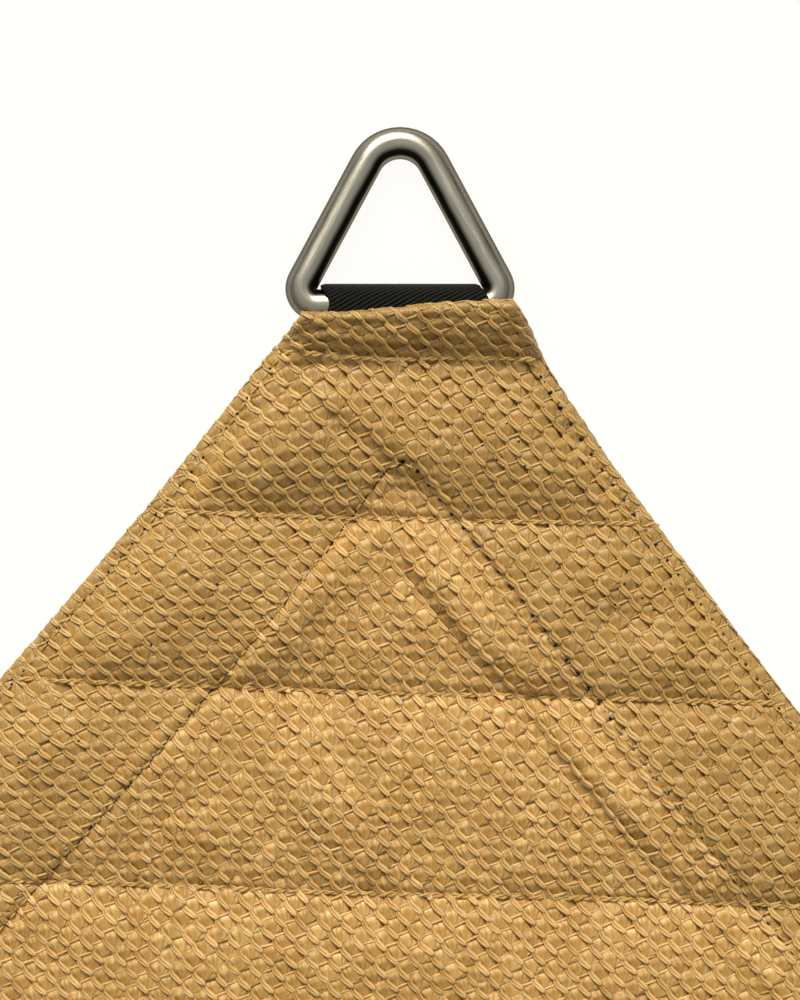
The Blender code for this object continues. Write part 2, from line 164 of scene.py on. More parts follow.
def set_stops(ramp: bpy.types.ColorRamp, stops: list[tuple[float, tuple]]) -> None:
    """Sets a ramp's stops, each a position and a colour."""
    while len(ramp.elements) < len(stops):
        ramp.elements.new(0.5)
    for element, (spot, colour) in zip(ramp.elements, stops):
        element.position = spot
        element.color = colour


def new_material(name: str) -> tuple[Material, Node]:
    """A new material and its shader."""
    material = bpy.data.materials.new(name)
    material.use_nodes = True
    return material, material.node_tree.nodes["Principled BSDF"]


def make_object(name: str, mesh: Mesh, material: Material | None) -> Object:
    """Puts a mesh into the scene as an object at the origin.

    Args:
        name: the object's name.
        mesh: its mesh, in metres.
        material: the finish for all its faces, or None to keep the mesh's own.

    Returns:
        The new object.
    """
    if material is not None:
        mesh.materials.clear()
        mesh.materials.append(material)
    mesh.shade_smooth()
    item = bpy.data.objects.new(name, mesh)
    bpy.context.scene.collection.objects.link(item)
    LOG.info("%s: %d faces", name, len(mesh.polygons))
    return item


def mesh_from(name: str, points: Array, faces: list, material: Material) -> Object:
    """Makes an object from points in millimetres and their faces."""
    mesh = bpy.data.meshes.new(name)
    mesh.from_pydata((np.asarray(points, float) * MM).tolist(), [], faces)
    return make_object(name, mesh, material)


def set_attribute(mesh: Mesh, name: str, values: Array) -> None:
    """Stores a number, or a row of three, for each point of a mesh under a name."""
    values = np.asarray(values, np.float32)
    kind, part = ("FLOAT", "value") if values.ndim == 1 else ("FLOAT_VECTOR", "vector")
    layer = mesh.attributes.get(name) or mesh.attributes.new(name, kind, "POINT")
    layer.data.foreach_set(part, values.ravel())


def set_uv(mesh: Mesh, name: str, values: Array) -> None:
    """Gives a mesh a UV map from one pair of numbers for each of its points."""
    layer = mesh.uv_layers.new(name=name)
    corners = np.zeros(len(mesh.loops), np.int32)
    mesh.loops.foreach_get("vertex_index", corners)
    layer.data.foreach_set("uv", np.asarray(values, np.float32)[corners].ravel())


def points_of(mesh: Mesh) -> Array:
    """The points of a mesh as an array with a row for each."""
    spots = np.zeros(len(mesh.vertices) * 3, np.float32)
    mesh.vertices.foreach_get("co", spots)
    return spots.reshape(-1, 3).astype(float)


def move_points(mesh: Mesh, spots: Array) -> None:
    """Sets the points of a mesh from places in millimetres."""
    mesh.vertices.foreach_set("co", (spots * MM).astype(np.float32).ravel())
    mesh.update()


def from_line(x: Array, y: Array, points: tuple[tuple[float, float], ...]) -> tuple[Array, Array]:
    """How far places lie from a line through points.

    Args:
        x: the places' first numbers.
        y: their second.
        points: the line's points.

    Returns:
        The distance, and the side: 1 or -1.
    """
    nearest = np.full(np.shape(x), 1e9)
    side = np.zeros(np.shape(x))
    for (ax, ay), (bx, by) in zip(points, points[1:]):
        run = np.array((bx - ax, by - ay))
        share = np.clip(((x - ax) * run[0] + (y - ay) * run[1]) / run.dot(run), 0, 1)
        away = np.hypot(x - ax - run[0] * share, y - ay - run[1] * share)
        side = np.where(away < nearest, np.sign(run[0] * (y - ay) - run[1] * (x - ax)), side)
        nearest = np.minimum(nearest, away)
    return nearest, side


# ---------------------------------------------------------------- the corner's form


@dataclass(frozen=True)
class CornerForm:
    """The sail's outline and the levels of its cloth, which follow its solids."""

    eye_spacing: float = 2000.0
    ring_skew: float = 1.8
    ring_offset: float = 1.9
    tip_half_width: float = 26.0
    tip_slant: float = 2.2
    tip_slant_reach: float = 27.5
    mid_angle: float = 45.0
    hollow_angle: float = 4.6
    flare_angle: float = 5.9
    flare_length: float = 90.0
    rows_down: tuple[float, ...] = (11.7, 52.6, 96.2, 146.6, 194.6)
    puff_heights: tuple[float, ...] = (1.9, 3.0, 3.2, 2.6)
    puff_fullness: float = 0.62
    puff_edge: float = 24.0
    v_tip_down: float = 38.5
    cloth_thick: float = 1.5
    hem_thick: float = 2.6
    tip_thick: float = 2.0
    edge_thick: float = 1.5
    hem_width: float = 40.0
    hem_extra_at_tip: float = 3.2
    hem_extra_length: float = 45.0
    hem_lean: float = 1.8
    rim: float = 5.0
    recess: float = 9.0
    seam_step: float = 3.5
    patch_thick: float = 1.0
    patch_top: float = 3.0
    patch_bottom: float = 200.0
    patch_inset: float = 10.0
    patch_ends: tuple[float, float] = (201.5, 207.0)
    gap: float = 0.3
    webbing_thick: float = 1.1
    leg_lands: float = 14.0
    leg_end: float = 33.0
    leg_cleared: float = 54.0
    above_loop: float = 0.45
    corner_depth: float = 215.0
    edge_lands: tuple[float, float] = (4.0, 15.0)
    rim_lands: tuple[float, float] = (22.0, 32.0)
    tip_corner_soft: float = 0.7
    batch: int = 4000

    @cached_property
    def ring(self) -> "RingForm":
        """The ring's own sizes."""
        return RingForm()

    @cached_property
    def tip_from_centre(self) -> float:
        """The tip's distance from the sail's centre, along the diagonal."""
        return self.eye_spacing / math.sqrt(2) - self.ring.eye_outward

    @property
    def lower_leg(self) -> float:
        """The level of the webbing's lower leg."""
        return self.patch_thick + self.gap

    @property
    def upper_leg(self) -> float:
        """The level of the webbing's upper leg."""
        return self.lower_leg + self.webbing_thick + self.gap

    @property
    def bar_height(self) -> float:
        """The height of the middle of the ring's bar."""
        return self.upper_leg + self.ring.wire_radius

    @property
    def loop_radius(self) -> float:
        """The radius of the outside of the webbing round the bar."""
        return self.ring.wire_radius + self.gap + self.webbing_thick

    @cached_property
    def half_edge(self) -> Array:
        """The right side edge, in 1 mm steps: across, down, length along it, and angle."""
        half_length = (self.tip_from_centre - self.tip_half_width) / math.sqrt(2)
        across, down, along = self.tip_half_width, 0.0, 0.0
        rows = []
        while across + down < self.tip_from_centre:
            hollow = self.hollow_angle * (1 - along / half_length)
            flare = self.flare_angle * math.exp(-along / self.flare_length)
            angle = math.radians(self.mid_angle - hollow - flare)
            rows.append((across, down, along, angle))
            across += math.sin(angle)
            down += math.cos(angle)
            along += 1.0
        over = across + down - self.tip_from_centre
        rows.append((across - over / 2, down - over / 2, along, math.radians(self.mid_angle)))
        return np.array(rows)

    def to_corner(self, x: Array, y: Array) -> tuple[Array, Array]:
        """A place of the upright ring's frame as (across, down)."""
        turn = math.radians(self.ring_skew)
        across = x * math.cos(turn) + y * math.sin(turn) - self.ring_offset
        return across, -x * math.sin(turn) + y * math.cos(turn)

    def from_corner(self, across: Array, down: Array) -> tuple[Array, Array]:
        """The place (across, down) in the upright ring's frame."""
        turn = math.radians(self.ring_skew)
        x = (across + self.ring_offset) * math.cos(turn) - down * math.sin(turn)
        return x, (across + self.ring_offset) * math.sin(turn) + down * math.cos(turn)

    def to_sail(self, corner: Array | int, across: Array, down: Array) -> tuple[Array, Array]:
        """The place (across, down) of a corner, in the sail's own X and Y."""
        turn = np.radians(45.0 + 90.0 * np.asarray(corner))
        out = self.tip_from_centre - down
        return out * np.cos(turn) + across * np.sin(turn), out * np.sin(turn) - across * np.cos(turn)

    def from_sail(self, x: Array, y: Array, corner: int | None = None) -> tuple[Array, Array, Array]:
        """Each point's nearest corner, or the given one, and its place there."""
        if corner is None:
            corner = np.floor(np.arctan2(y, x) / (math.pi / 2)).astype(int) % CORNERS
        turn = np.radians(45.0 + 90.0 * corner)
        across = x * np.sin(turn) - y * np.cos(turn)
        return corner, across, self.tip_from_centre - (x * np.cos(turn) + y * np.sin(turn))

    def tip_down(self, across: Array) -> Array:
        """How far down the tip's slanting edge lies."""
        reach = np.clip(across / self.tip_slant_reach, -1.0, 1.0)
        return -self.tip_slant * np.sin(reach * math.pi / 2)

    def slant_share(self, down: Array) -> Array:
        """How much of the tip's slant a point at this depth takes."""
        return 1 - smooth(self.rim, self.leg_lands, down)

    def edge_place(self, across: Array, down: Array) -> tuple[Array, Array, Array]:
        """How far points lie inside the outline, and the way square to it and inwards.

        Args:
            across: the points' places across the corner.
            down: their depths.

        Returns:
            The distance, below 0 outside, and the inward direction's two parts.
        """
        straight = down - self.tip_down(across) * self.slant_share(down)
        line = self.half_edge[:, :2]
        sides = np.abs(across)
        distance, angle = np.empty(len(sides)), np.empty(len(sides))
        for start in range(0, len(sides), self.batch):
            part = slice(start, start + self.batch)
            gaps = (line[None, :, 0] - sides[part, None]) ** 2
            gaps += (line[None, :, 1] - straight[part, None]) ** 2
            near = gaps.argmin(axis=1)
            angle[part] = self.half_edge[near, 3]
            distance[part] = (line[near, 0] - sides[part]) * np.cos(angle[part])
            distance[part] += (straight[part] - line[near, 1]) * np.sin(angle[part])
        soft = self.tip_corner_soft
        pull = np.clip((straight - distance) / soft, -30, 30)
        by_side = 1 / (1 + np.exp(-pull))
        both = np.minimum(distance, straight) - soft * np.log1p(np.exp(-np.abs(pull)))
        inward_x = -np.cos(angle) * np.sign(across) * by_side
        inward_y = np.sin(angle) * by_side + (1 - by_side)
        size = np.hypot(inward_x, inward_y)
        return both + soft * math.log(2) * bell(pull, 0, 1), inward_x / size, inward_y / size

    def inside_edge(self, width: Array | float) -> Array:
        """The right side edge's points, moved into the cloth by a width or by one for each."""
        angle = self.half_edge[:, 3]
        inward = np.column_stack((-np.cos(angle), np.sin(angle)))
        return self.half_edge[:, :2] + np.asarray(width).reshape(-1, 1) * inward

    def hem_at(self, down: Array, side: Array | float = 0.0) -> Array:
        """The width of the hem at a depth, whose seams both lean to the right: side is -1 or 1."""
        along = np.where(down < self.v_tip_down, 0.0, down)
        lean = self.hem_lean * side * smooth(self.v_tip_down, 2 * self.v_tip_down, down)
        return self.hem_width + self.hem_extra_at_tip * np.exp(-along / self.hem_extra_length) - lean

    def loop_top(self, y: Array) -> Array:
        """The top of the webbing loop over the bar and down to where its leg lands."""
        centre = -self.ring.bar_outward
        lands = self.upper_leg + self.webbing_thick
        run, drop = self.leg_lands - centre, self.bar_height - lands
        slope = math.atan2(drop, run) + math.asin(self.loop_radius / math.hypot(run, drop))
        leaves = centre + self.loop_radius * math.sin(slope)
        round_part = self.bar_height + np.sqrt(np.maximum(self.loop_radius**2 - (y - centre) ** 2, 0.0))
        straight = lands + np.maximum(self.leg_lands - y, 0.0) * math.tan(slope)
        return np.where(y < leaves, round_part, straight)

    def clearance(self, across: Array, down: Array) -> Array:
        """The level that the cloth's underside keeps above the loop, its legs and the patch."""
        y = self.from_corner(across, down)[1]
        above_legs = self.upper_leg + self.webbing_thick + self.gap
        landed = smooth(self.leg_lands, self.leg_lands + 4, y)
        over_legs = above_legs + (self.above_loop - self.gap) * (1 - landed)
        over_patch = self.patch_thick + self.gap
        level = over_legs + (over_patch - over_legs) * smooth(self.leg_end + 2, self.leg_cleared, y)
        level = np.where(y < self.leg_lands, self.loop_top(y) + self.above_loop, level)
        return level * (1 - smooth(*self.patch_ends, down))

    def side_share(self, distance: Array, down: Array) -> Array:
        """How much of that level holds near the side edge, which comes down to the surface."""
        at_edge, at_rim = 1 - smooth(*self.edge_lands, down), 1 - smooth(*self.rim_lands, down)
        near = at_edge + (at_rim - at_edge) * np.clip(distance / self.rim, 0, 1)
        to_full = np.clip((distance - self.rim) / (self.recess - self.rim), 0, 1)
        return near + (1 - near) * to_full

    def levels(self, across: Array, down: Array, relief: "Relief") -> tuple[Array, Array, Array]:
        """The top and underside of the cloth, and how far inside the outline each point is."""
        distance = self.edge_place(across, down)[0]
        inside = np.maximum(distance, 0.0)
        in_corner = down < self.corner_depth
        under = np.where(in_corner, self.clearance(across, down) * self.side_share(inside, down), 0.0)
        inner = smooth(0.0, self.seam_step, inside - self.hem_at(down))
        below_legs = smooth(self.leg_lands, self.leg_end, down)
        full = self.tip_thick + (self.hem_thick - self.tip_thick) * below_legs
        thick = self.edge_thick + (full - self.edge_thick) * smooth(0.0, self.rim, inside)
        thick = thick + (self.cloth_thick - full) * inner
        swell = np.where(in_corner, relief.swell(self, across, down, inside), 0.0)
        under = under + np.maximum(swell, 0.0) * inner
        over = under + thick + np.maximum(swell, 0.0) * (1 - inner) + np.minimum(swell, 0.0)
        return over, under, distance


@dataclass(frozen=True)
class RingForm:
    """The sizes of the triangle ring, the same as those of its solid."""

    wire_radius: float = 4.0
    half_width: float = 28.6
    leg_angle: float = 27.9
    top_bend: float = 9.5
    foot_bend: float = 4.25
    bar_outward: float = 0.5

    @cached_property
    def height_above_bar(self) -> float:
        """The height of the wire's middle at the top over its middle at the bar."""
        leg = math.radians(self.leg_angle)
        foot_x = self.half_width - self.wire_radius - self.foot_bend
        rise = (foot_x * math.cos(leg) + self.foot_bend - self.top_bend) / math.sin(leg)
        return self.foot_bend + self.top_bend + rise

    @property
    def eye_outward(self) -> float:
        """How far outside the tip the ring's inner top lies."""
        return self.bar_outward + self.height_above_bar - self.wire_radius


@dataclass(frozen=True)
class Bump:
    """A soft rise, or a hollow where its height is below 0, about a point in the ring's frame."""

    height: float
    x: float
    y: float
    wide: float
    deep: float

    def at(self, x: Array, y: Array) -> Array:
        """The bump's height at each point."""
        return self.height * bell(x, self.x, self.wide) * bell(y, self.y, self.deep)


@dataclass(frozen=True)
class Fold:
    """A fold along points in the ring's frame, or a trough where its height is below 0.

    It drops steeply to the right of its line, as one walks down it, and slowly to the left.
    """

    height: float
    steep: float
    slow: float
    points: tuple[tuple[float, float], ...]

    def at(self, x: Array, y: Array) -> Array:
        """The fold's height at each point."""
        nearest, side = from_line(x, y, self.points)
        return self.height * bell(nearest, 0, np.where(side > 0, self.steep, self.slow))


# The creases are in the solids too, and both their sides are alike.
CREASES = (
    Fold(-1.3, 4.5, 4.5, ((-1, 59), (10, 75), (22, 90), (31, 97))),
    Fold(-1.1, 5.0, 5.0, ((31, 102), (45, 118), (60, 135), (72, 145))),
    Fold(1.2, 6.0, 6.0, ((6, 57), (17, 71), (30, 86), (38, 95))),
    Fold(1.0, 7.0, 7.0, ((-8, 55), (-24, 74), (-42, 94))),
    Fold(-1.2, 5.0, 5.0, ((-12, 28), (0, 38), (13, 51))),
    Fold(0.9, 7.0, 7.0, ((-33, 105), (-20, 120), (-8, 136))),
)
FOLDS = (
    Fold(2.2, 2.4, 7.0, ((-20, 22), (-6, 31), (7, 42), (13, 50))),
    Fold(1.9, 2.2, 7.0, ((-9, 54), (-24, 71), (-43, 94))),
    Fold(2.9, 2.2, 7.0, ((-8, 54), (0, 60), (10, 72), (20, 85), (31, 95))),
    Fold(1.2, 2.2, 7.0, ((17, 54), (30, 71), (47, 94))),
    Fold(1.7, 2.4, 7.0, ((-49, 97), (-70, 121), (-91, 147))),
    Fold(1.0, 4.0, 9.0, ((-38, 102), (-22, 125), (-10, 140))),
    Fold(3.0, 2.6, 8.0, ((34, 100), (50, 119), (66, 138), (74, 146))),
    Fold(1.2, 2.4, 7.0, ((50, 100), (68, 121), (88, 144))),
    Fold(0.9, 3.5, 9.0, ((8, 149), (20, 162), (30, 176))),
    Fold(1.3, 3.0, 8.0, ((78, 149), (92, 166), (104, 180))),
    Fold(0.8, 3.0, 8.0, ((-92, 149), (-108, 168), (-118, 180))),
)
BUMPS = (
    Bump(1.6, -30, 28, 13, 9), Bump(1.0, -32, 43, 12, 5), Bump(1.0, 32, 28, 8, 8),
    Bump(1.0, 41, 43, 9, 5), Bump(-1.2, 4, 46, 13, 7), Bump(1.4, -59, 66, 17, 12),
    Bump(0.8, -37, 57, 12, 3), Bump(1.3, -72, 84, 14, 7), Bump(0.8, -26, 87, 12, 5),
    Bump(1.2, 30, 59, 9, 4), Bump(0.9, 50, 63, 8, 8), Bump(-2.2, 56, 78, 8, 6),
    Bump(1.5, 70, 88, 12, 6), Bump(1.8, -89, 107, 16, 9), Bump(1.0, -52, 113, 7, 10),
    Bump(0.9, -47, 131, 9, 6), Bump(1.2, 75, 107, 12, 5), Bump(-1.2, 6, 135, 10, 9),
    Bump(1.4, 0, 160, 14, 10), Bump(1.0, -77, 157, 9, 8), Bump(-1.0, -95, 162, 8, 12),
    Bump(0.8, 62, 160, 7, 10),
)


@dataclass(frozen=True)
class Relief:
    """How the cloth puffs up between its rows of stitching, with its creases and seams."""

    creases: tuple[Fold, ...] = CREASES
    folds: tuple[Fold, ...] = FOLDS
    bumps: tuple[Bump, ...] = BUMPS
    fuller: tuple[float, ...] = (0.2, 0.2, 0.0, 0.2)
    tip_roll: float = 2.2
    tip_roll_down: float = 5.2
    tip_roll_reach: float = 3.2
    welt_width: float = 3.2
    welt_height: float = 0.7
    groove_depth: float = 0.5
    groove_width: float = 1.0
    v_groove: float = 0.95
    pucker_height: float = 0.16
    pucker_pitch: float = 9.3
    pucker_reach: float = 5.0

    def swell(self, form: CornerForm, across: Array, down: Array, distance: Array) -> Array:
        """The height of the puffs between the rows, creases included.

        Args:
            form: the corner's sizes.
            across: the points' places across the corner.
            down: their depths.
            distance: how far inside the outline they are.

        Returns:
            The swell at each point.
        """
        x, y = form.from_corner(across, down)
        creased = sum(crease.at(x, y) for crease in self.creases)
        return self.puffed(form, down, distance, form.puff_heights, creased)

    def puffed(
        self, form: CornerForm, down: Array, distance: Array, heights: tuple[float, ...], extra: Array
    ) -> Array:
        """Relief that dies out at the rows and at the side edges.

        Args:
            form: the corner's sizes.
            down: the points' depths.
            distance: how far inside the outline they are.
            heights: the height of the puff between each two rows.
            extra: what comes on top of that at each point.

        Returns:
            The height at each point.
        """
        side = smooth(0.0, form.puff_edge, distance)
        total = np.zeros(np.shape(down))
        rows = form.rows_down
        for top, bottom, height in zip(rows, rows[1:], heights):
            arch = np.sin(math.pi * np.clip((down - top) / (bottom - top), 0.0, 1.0)) ** form.puff_fullness
            total = total + np.where((down > top) & (down < bottom), arch * side * (height + extra), 0.0)
        return total

    def fine(self, form: CornerForm, across: Array, down: Array, distance: Array) -> Array:
        """The small relief of welts, seams and puckers, over what the solids have."""
        inside = np.maximum(distance, 0.0)
        welt = self.welt_height * np.sin(math.pi * np.clip(inside / self.welt_width, 0, 1))
        total = welt - 0.5 * self.groove_depth * bell(inside, self.welt_width, 0.8)
        from_edge = down - form.tip_down(across) * form.slant_share(down)
        roll = self.tip_roll * bell(from_edge, self.tip_roll_down, self.tip_roll_reach)
        total = total + roll * smooth(1.0, 9.0, inside - from_edge * 0.3) * smooth(0.0, 2.5, from_edge)
        below_tip = smooth(form.v_tip_down - 2, form.v_tip_down + 1, down)
        seam = form.hem_at(down, np.sign(across))
        total = total - below_tip * self.v_groove * bell(inside, seam, self.groove_width)
        for row in form.rows_down:
            near = bell(down, row, self.groove_width)
            total = total - 0.6 * self.groove_depth * near
            ripple = np.cos(2 * math.pi * across / self.pucker_pitch + row)
            total = total + self.pucker_height * ripple * bell(down, row, self.pucker_reach)
        x, y = form.from_corner(across, down)
        slack = sum(fold.at(x, y) for fold in self.folds)
        slack = slack + sum(bump.at(x, y) for bump in self.bumps)
        total = total + self.puffed(form, down, inside, self.fuller, slack)
        return total * (1 - smooth(form.corner_depth - 15, form.corner_depth, down))


FORM = CornerForm()
RELIEF = Relief()


# ---------------------------------------------------------------- finishes


@dataclass(frozen=True)
class Plastic:
    """Drawn HDPE, as yarn or as slit film: a warm tan plastic with a soft, waxy gloss.

    The dark and light tones are the same plastic, whose tone differs at random. The dark one
    is also painted shade in the films' pleats, and the light one painted light on the heads
    of the loops and on the ridges and starts of the films. Over the black webbing the thin
    layer lets some of the dark through, which turns it olive. A needle hole is painted near
    black: partly the black webbing seen through it, partly painted shade in its depth.
    """

    name: str
    light: str
    dark: str
    over_webbing: str
    roughness: float
    pleats: float = 0.0
    pleat_depth_mm: float = 0.3
    hole: str = "160f05"
    hole_mm: float = 0.66
    cloud_tone: float = 0.6
    own_tone: float = 0.4
    painted_light_share: float = 0.0
    tone_shift: float = 0.0
    cloud_mm: float = 11.0
    grain_pitch_mm: float = 0.35
    grain_depth_mm: float = 0.05
    gloss: float = 0.34
    ior: float = 1.54
    milky: float = 0.4
    milky_mm: float = 1.0
    milky_colour: tuple[float, float, float] = (1.0, 0.92, 0.84)

    def make(self) -> Material:
        """Builds the material, which reads the attributes of the knit and the stitches."""
        material, shader = new_material(self.name)
        tree = material.node_tree
        node = partial(add_node, tree)
        place = node("TexCoord", out="Object")
        tone, band, head = (
            node("Attribute", out="Fac", attribute_name=name) for name in ("tone", "band", "head")
        )
        from_hole = node("Attribute", out="Vector", attribute_name="from_hole")
        reach = node("VectorMath", from_hole, out="Value", operation="LENGTH")
        # painted shade: near the needle holes the colour goes near black, partly the black webbing seen
        # through and partly painted shade in their depth
        rim = (self.hole_mm * 0.75, self.hole_mm * 1.2, 1.0, 0.0)
        hole = node("MapRange", reach, *rim, interpolation_type="SMOOTHSTEP")
        scale = 1 / (self.cloud_mm * MM)
        cloud = node("TexNoise", out="Fac", Vector=place, Scale=scale, Detail=2.0)
        share = node("MULTIPLY_ADD", cloud, self.cloud_tone, 0.0)
        share = node("MULTIPLY_ADD", tone, self.own_tone, share)
        # painted light: the `head` attribute colours the heads of the loops and the ridges and starts of the
        # films lighter
        share = node("MULTIPLY_ADD", head, self.painted_light_share, share)
        share = node("ADD", share, self.tone_shift)
        layers = [(share, self.dark, self.light), (band, None, self.over_webbing)]
        scale = 1 / (self.grain_pitch_mm * MM)
        grain = node("TexNoise", out="Fac", Vector=place, Scale=scale, Detail=1.0)
        bump = node("Bump", Height=grain, Strength=0.35, Distance=self.grain_depth_mm * MM)
        if self.pleats:
            # painted shade: the films' pleats are coloured with the dark tone in their grooves
            folded = self.pleat(tree, tone)
            layers.append((folded, self.dark, None))
            depth = self.pleat_depth_mm * MM
            bump = node("Bump", Height=folded, Normal=bump, Strength=0.7, Distance=depth)
        set_inputs(
            shader,
            Base_Color=layered(tree, *layers, (hole, None, self.hole)),
            Normal=bump,
            Roughness=self.roughness,
            IOR=self.ior,
            Specular_IOR_Level=self.gloss,
            Subsurface_Weight=self.milky,
            Subsurface_Radius=self.milky_colour,
            Subsurface_Scale=self.milky_mm * MM,
        )
        return material

    def pleat(self, tree: NodeTree, tone: NodeSocket) -> NodeSocket:
        """The uneven folds that fan out over a gathered film, low in their grooves and 1 on their tops."""
        node = partial(add_node, tree)
        fan = node("Attribute", out="Fac", attribute_name="pleat")
        spot = node("CombineXYZ", node("MULTIPLY", fan, self.pleats), node("MULTIPLY", tone, 60.0))
        wave = node("TexNoise", spot, out="Fac", Scale=1.0, Detail=1.0, noise_dimensions="2D")
        return node("MapRange", wave, 0.3, 0.66, 0.2, 1.0, interpolation_type="SMOOTHSTEP")


@dataclass(frozen=True)
class KnitCloth:
    """The same knit seen as a whole: chains of loops with film laid between them.

    The pattern follows the cloth's own UV map, which counts its courses and wales, so
    one unit is one loop of about 4.5 by 4.1 mm, and all sizes below are shares of a loop.
    """

    name: str = "raschel_knit_hdpe"
    chain: str = "d9ae6d"
    film: str = "bd9150"
    # painted shade: the colour of the film's low parts and of the chains' eyes
    shade: str = "7a5622"
    webbing: str = "6f5a2c"
    # painted shade: the cloth under the loose knit is coloured darker than the knit, for the shade in the
    # gaps between its yarns; over the webbing the webbing's black adds to it
    backing_in_painted_shade: str = "8f6a30"
    backing_on_webbing_in_painted_shade: str = "3a2e15"
    roughness: float = 0.5
    ior: float = 1.54
    wander: float = 0.35
    chain_width: float = 0.24
    chain_lean: float = 0.16
    eye_place: float = 0.45
    eye_length: float = 0.2
    eye_width: float = 0.06
    pleats: float = 15.0
    relief_mm: float = 0.7

    def make(self) -> Material:
        """Builds the material, which reads the `knit` UV map, `hem` and `hidden`."""
        material, shader = new_material(self.name)
        tree = material.node_tree
        node = partial(add_node, tree)
        soft = {"interpolation_type": "SMOOTHSTEP"}
        uv = node("UVMap", uv_map="knit")
        wobble = node("TexNoise", out="Color", Vector=uv, Scale=0.6, Detail=1.0)
        shift = node("VectorMath", wobble, (0.5, 0.5, 0.5), operation="SUBTRACT")
        most = (self.wander, self.wander, 0.0)
        moved = node("VectorMath", shift, most, uv, operation="MULTIPLY_ADD")
        course, wale, _ = node("SeparateXYZ", moved).node.outputs
        u = node("FRACT", course)
        side = node("SUBTRACT", node("FRACT", node("ADD", wale, 0.5)), 0.5)
        width = node("ABSOLUTE", node("MULTIPLY_ADD", node("SUBTRACT", u, 0.5), self.chain_lean, side))
        from_chain = node("SMOOTH_MIN", node("DIVIDE", width, self.chain_width), 1.0, 0.2)
        on_chain = node("SUBTRACT", 1.0, from_chain)
        chain_mask = node("MapRange", width, 0.17, 0.25, 1.0, 0.0, **soft)
        eye_long = node("DIVIDE", node("ABSOLUTE", node("SUBTRACT", u, self.eye_place)), self.eye_length)
        eye_wide = node("DIVIDE", width, self.eye_width)
        eye_size = node("ADD", node("POWER", eye_long, 2.0), node("POWER", eye_wide, 2.0))
        eye = node("MapRange", eye_size, 0.5, 1.3, 1.0, 0.0, **soft)
        link_rise = node("SINE", node("MULTIPLY", u, math.pi))
        fan = node("MULTIPLY_ADD", side, 0.45, 1.0)
        turn = node("MULTIPLY", node("DIVIDE", node("SUBTRACT", u, 0.5), fan), self.pleats)
        pillow = node("SINE", node("MULTIPLY", node("FRACT", node("ADD", u, 0.3)), math.pi))
        film_rise = node("MULTIPLY_ADD", node("SINE", turn), 0.18, node("MULTIPLY", pillow, 0.6))
        chain_rise = node("MULTIPLY_ADD", on_chain, 0.8, node("MULTIPLY_ADD", link_rise, 0.3, 0.5))
        chain_rise = node("MULTIPLY_ADD", eye, -0.9, chain_rise)
        rise = node("Mix", chain_mask, A_Float=film_rise, B_Float=chain_rise)
        # painted shade: the film is coloured darker where its bumps are low, and the chains' eyes dark
        shading = node("MapRange", film_rise, 0.0, 0.7, 0.0, 1.0)
        hem, hidden = (
            node("Attribute", out="Fac", attribute_name=name) for name in ("hem", "hidden")
        )
        film = layered(tree, (shading, self.shade, self.film))
        yarn = layered(tree, (eye, self.chain, self.shade))
        colour = layered(
            tree,
            (chain_mask, film, yarn),
            (node("MULTIPLY", hem, 0.3), None, self.webbing),
            # painted shade: under the loose knit the cloth takes the darker backing colour
            (hidden, None, layered(tree, (hem, self.backing_in_painted_shade, self.backing_on_webbing_in_painted_shade))),
        )
        height = node("MULTIPLY", rise, node("SUBTRACT", 1.0, hidden))
        bump = node("Bump", Height=height, Strength=0.9, Distance=self.relief_mm * MM)
        set_inputs(shader, Base_Color=colour, Normal=bump, Roughness=self.roughness, IOR=self.ior)
        return material


@dataclass(frozen=True)
class Webbing:
    """Black polyester webbing in a twill weave: fine slanting ribs with a dull sheen."""

    name: str = "black_polyester_webbing"
    # painted light: the ribs are coloured lighter as a painted highlight, the grooves near black as painted
    # shade
    rib_with_painted_highlight: str = "252620"
    groove_in_painted_shade: str = "010101"
    roughness: float = 0.6
    gloss: float = 0.12
    rib_pitch_mm: float = 0.9
    rib_angle: float = 27.0
    rib_height_mm: float = 0.4
    thread_pitch_mm: float = 0.45
    thread_share: float = 0.25

    def make(self) -> Material:
        """Builds the material, which reads the strap's UV map in millimetres."""
        material, shader = new_material(self.name)
        tree = material.node_tree
        node = partial(add_node, tree)
        turn = (0.0, 0.0, math.radians(self.rib_angle))
        turned = node("Mapping", node("UVMap", uv_map="strap"), Rotation=turn)
        # A wave's scale of pi / 10 gives it a pitch of one unit, which is one millimetre here.
        waves = []
        for way, pitch, wander in (("Y", self.rib_pitch_mm, 0.6), ("X", self.thread_pitch_mm, 0.0)):
            inputs = {"Vector": turned, "Scale": math.pi / 10 / pitch, "Distortion": wander}
            waves.append(node("TexWave", out="Fac", bands_direction=way, **inputs))
        ribs, threads = waves
        height = node("MULTIPLY_ADD", threads, self.thread_share, ribs)
        bump = node("Bump", Height=height, Strength=1.0, Distance=self.rib_height_mm * MM)
        # painted highlight on the ribs and painted shade in the grooves
        colour = layered(tree, (ribs, self.groove_in_painted_shade, self.rib_with_painted_highlight))
        set_inputs(
            shader, Base_Color=colour, Normal=bump, Roughness=self.roughness, Specular_IOR_Level=self.gloss
        )
        return material


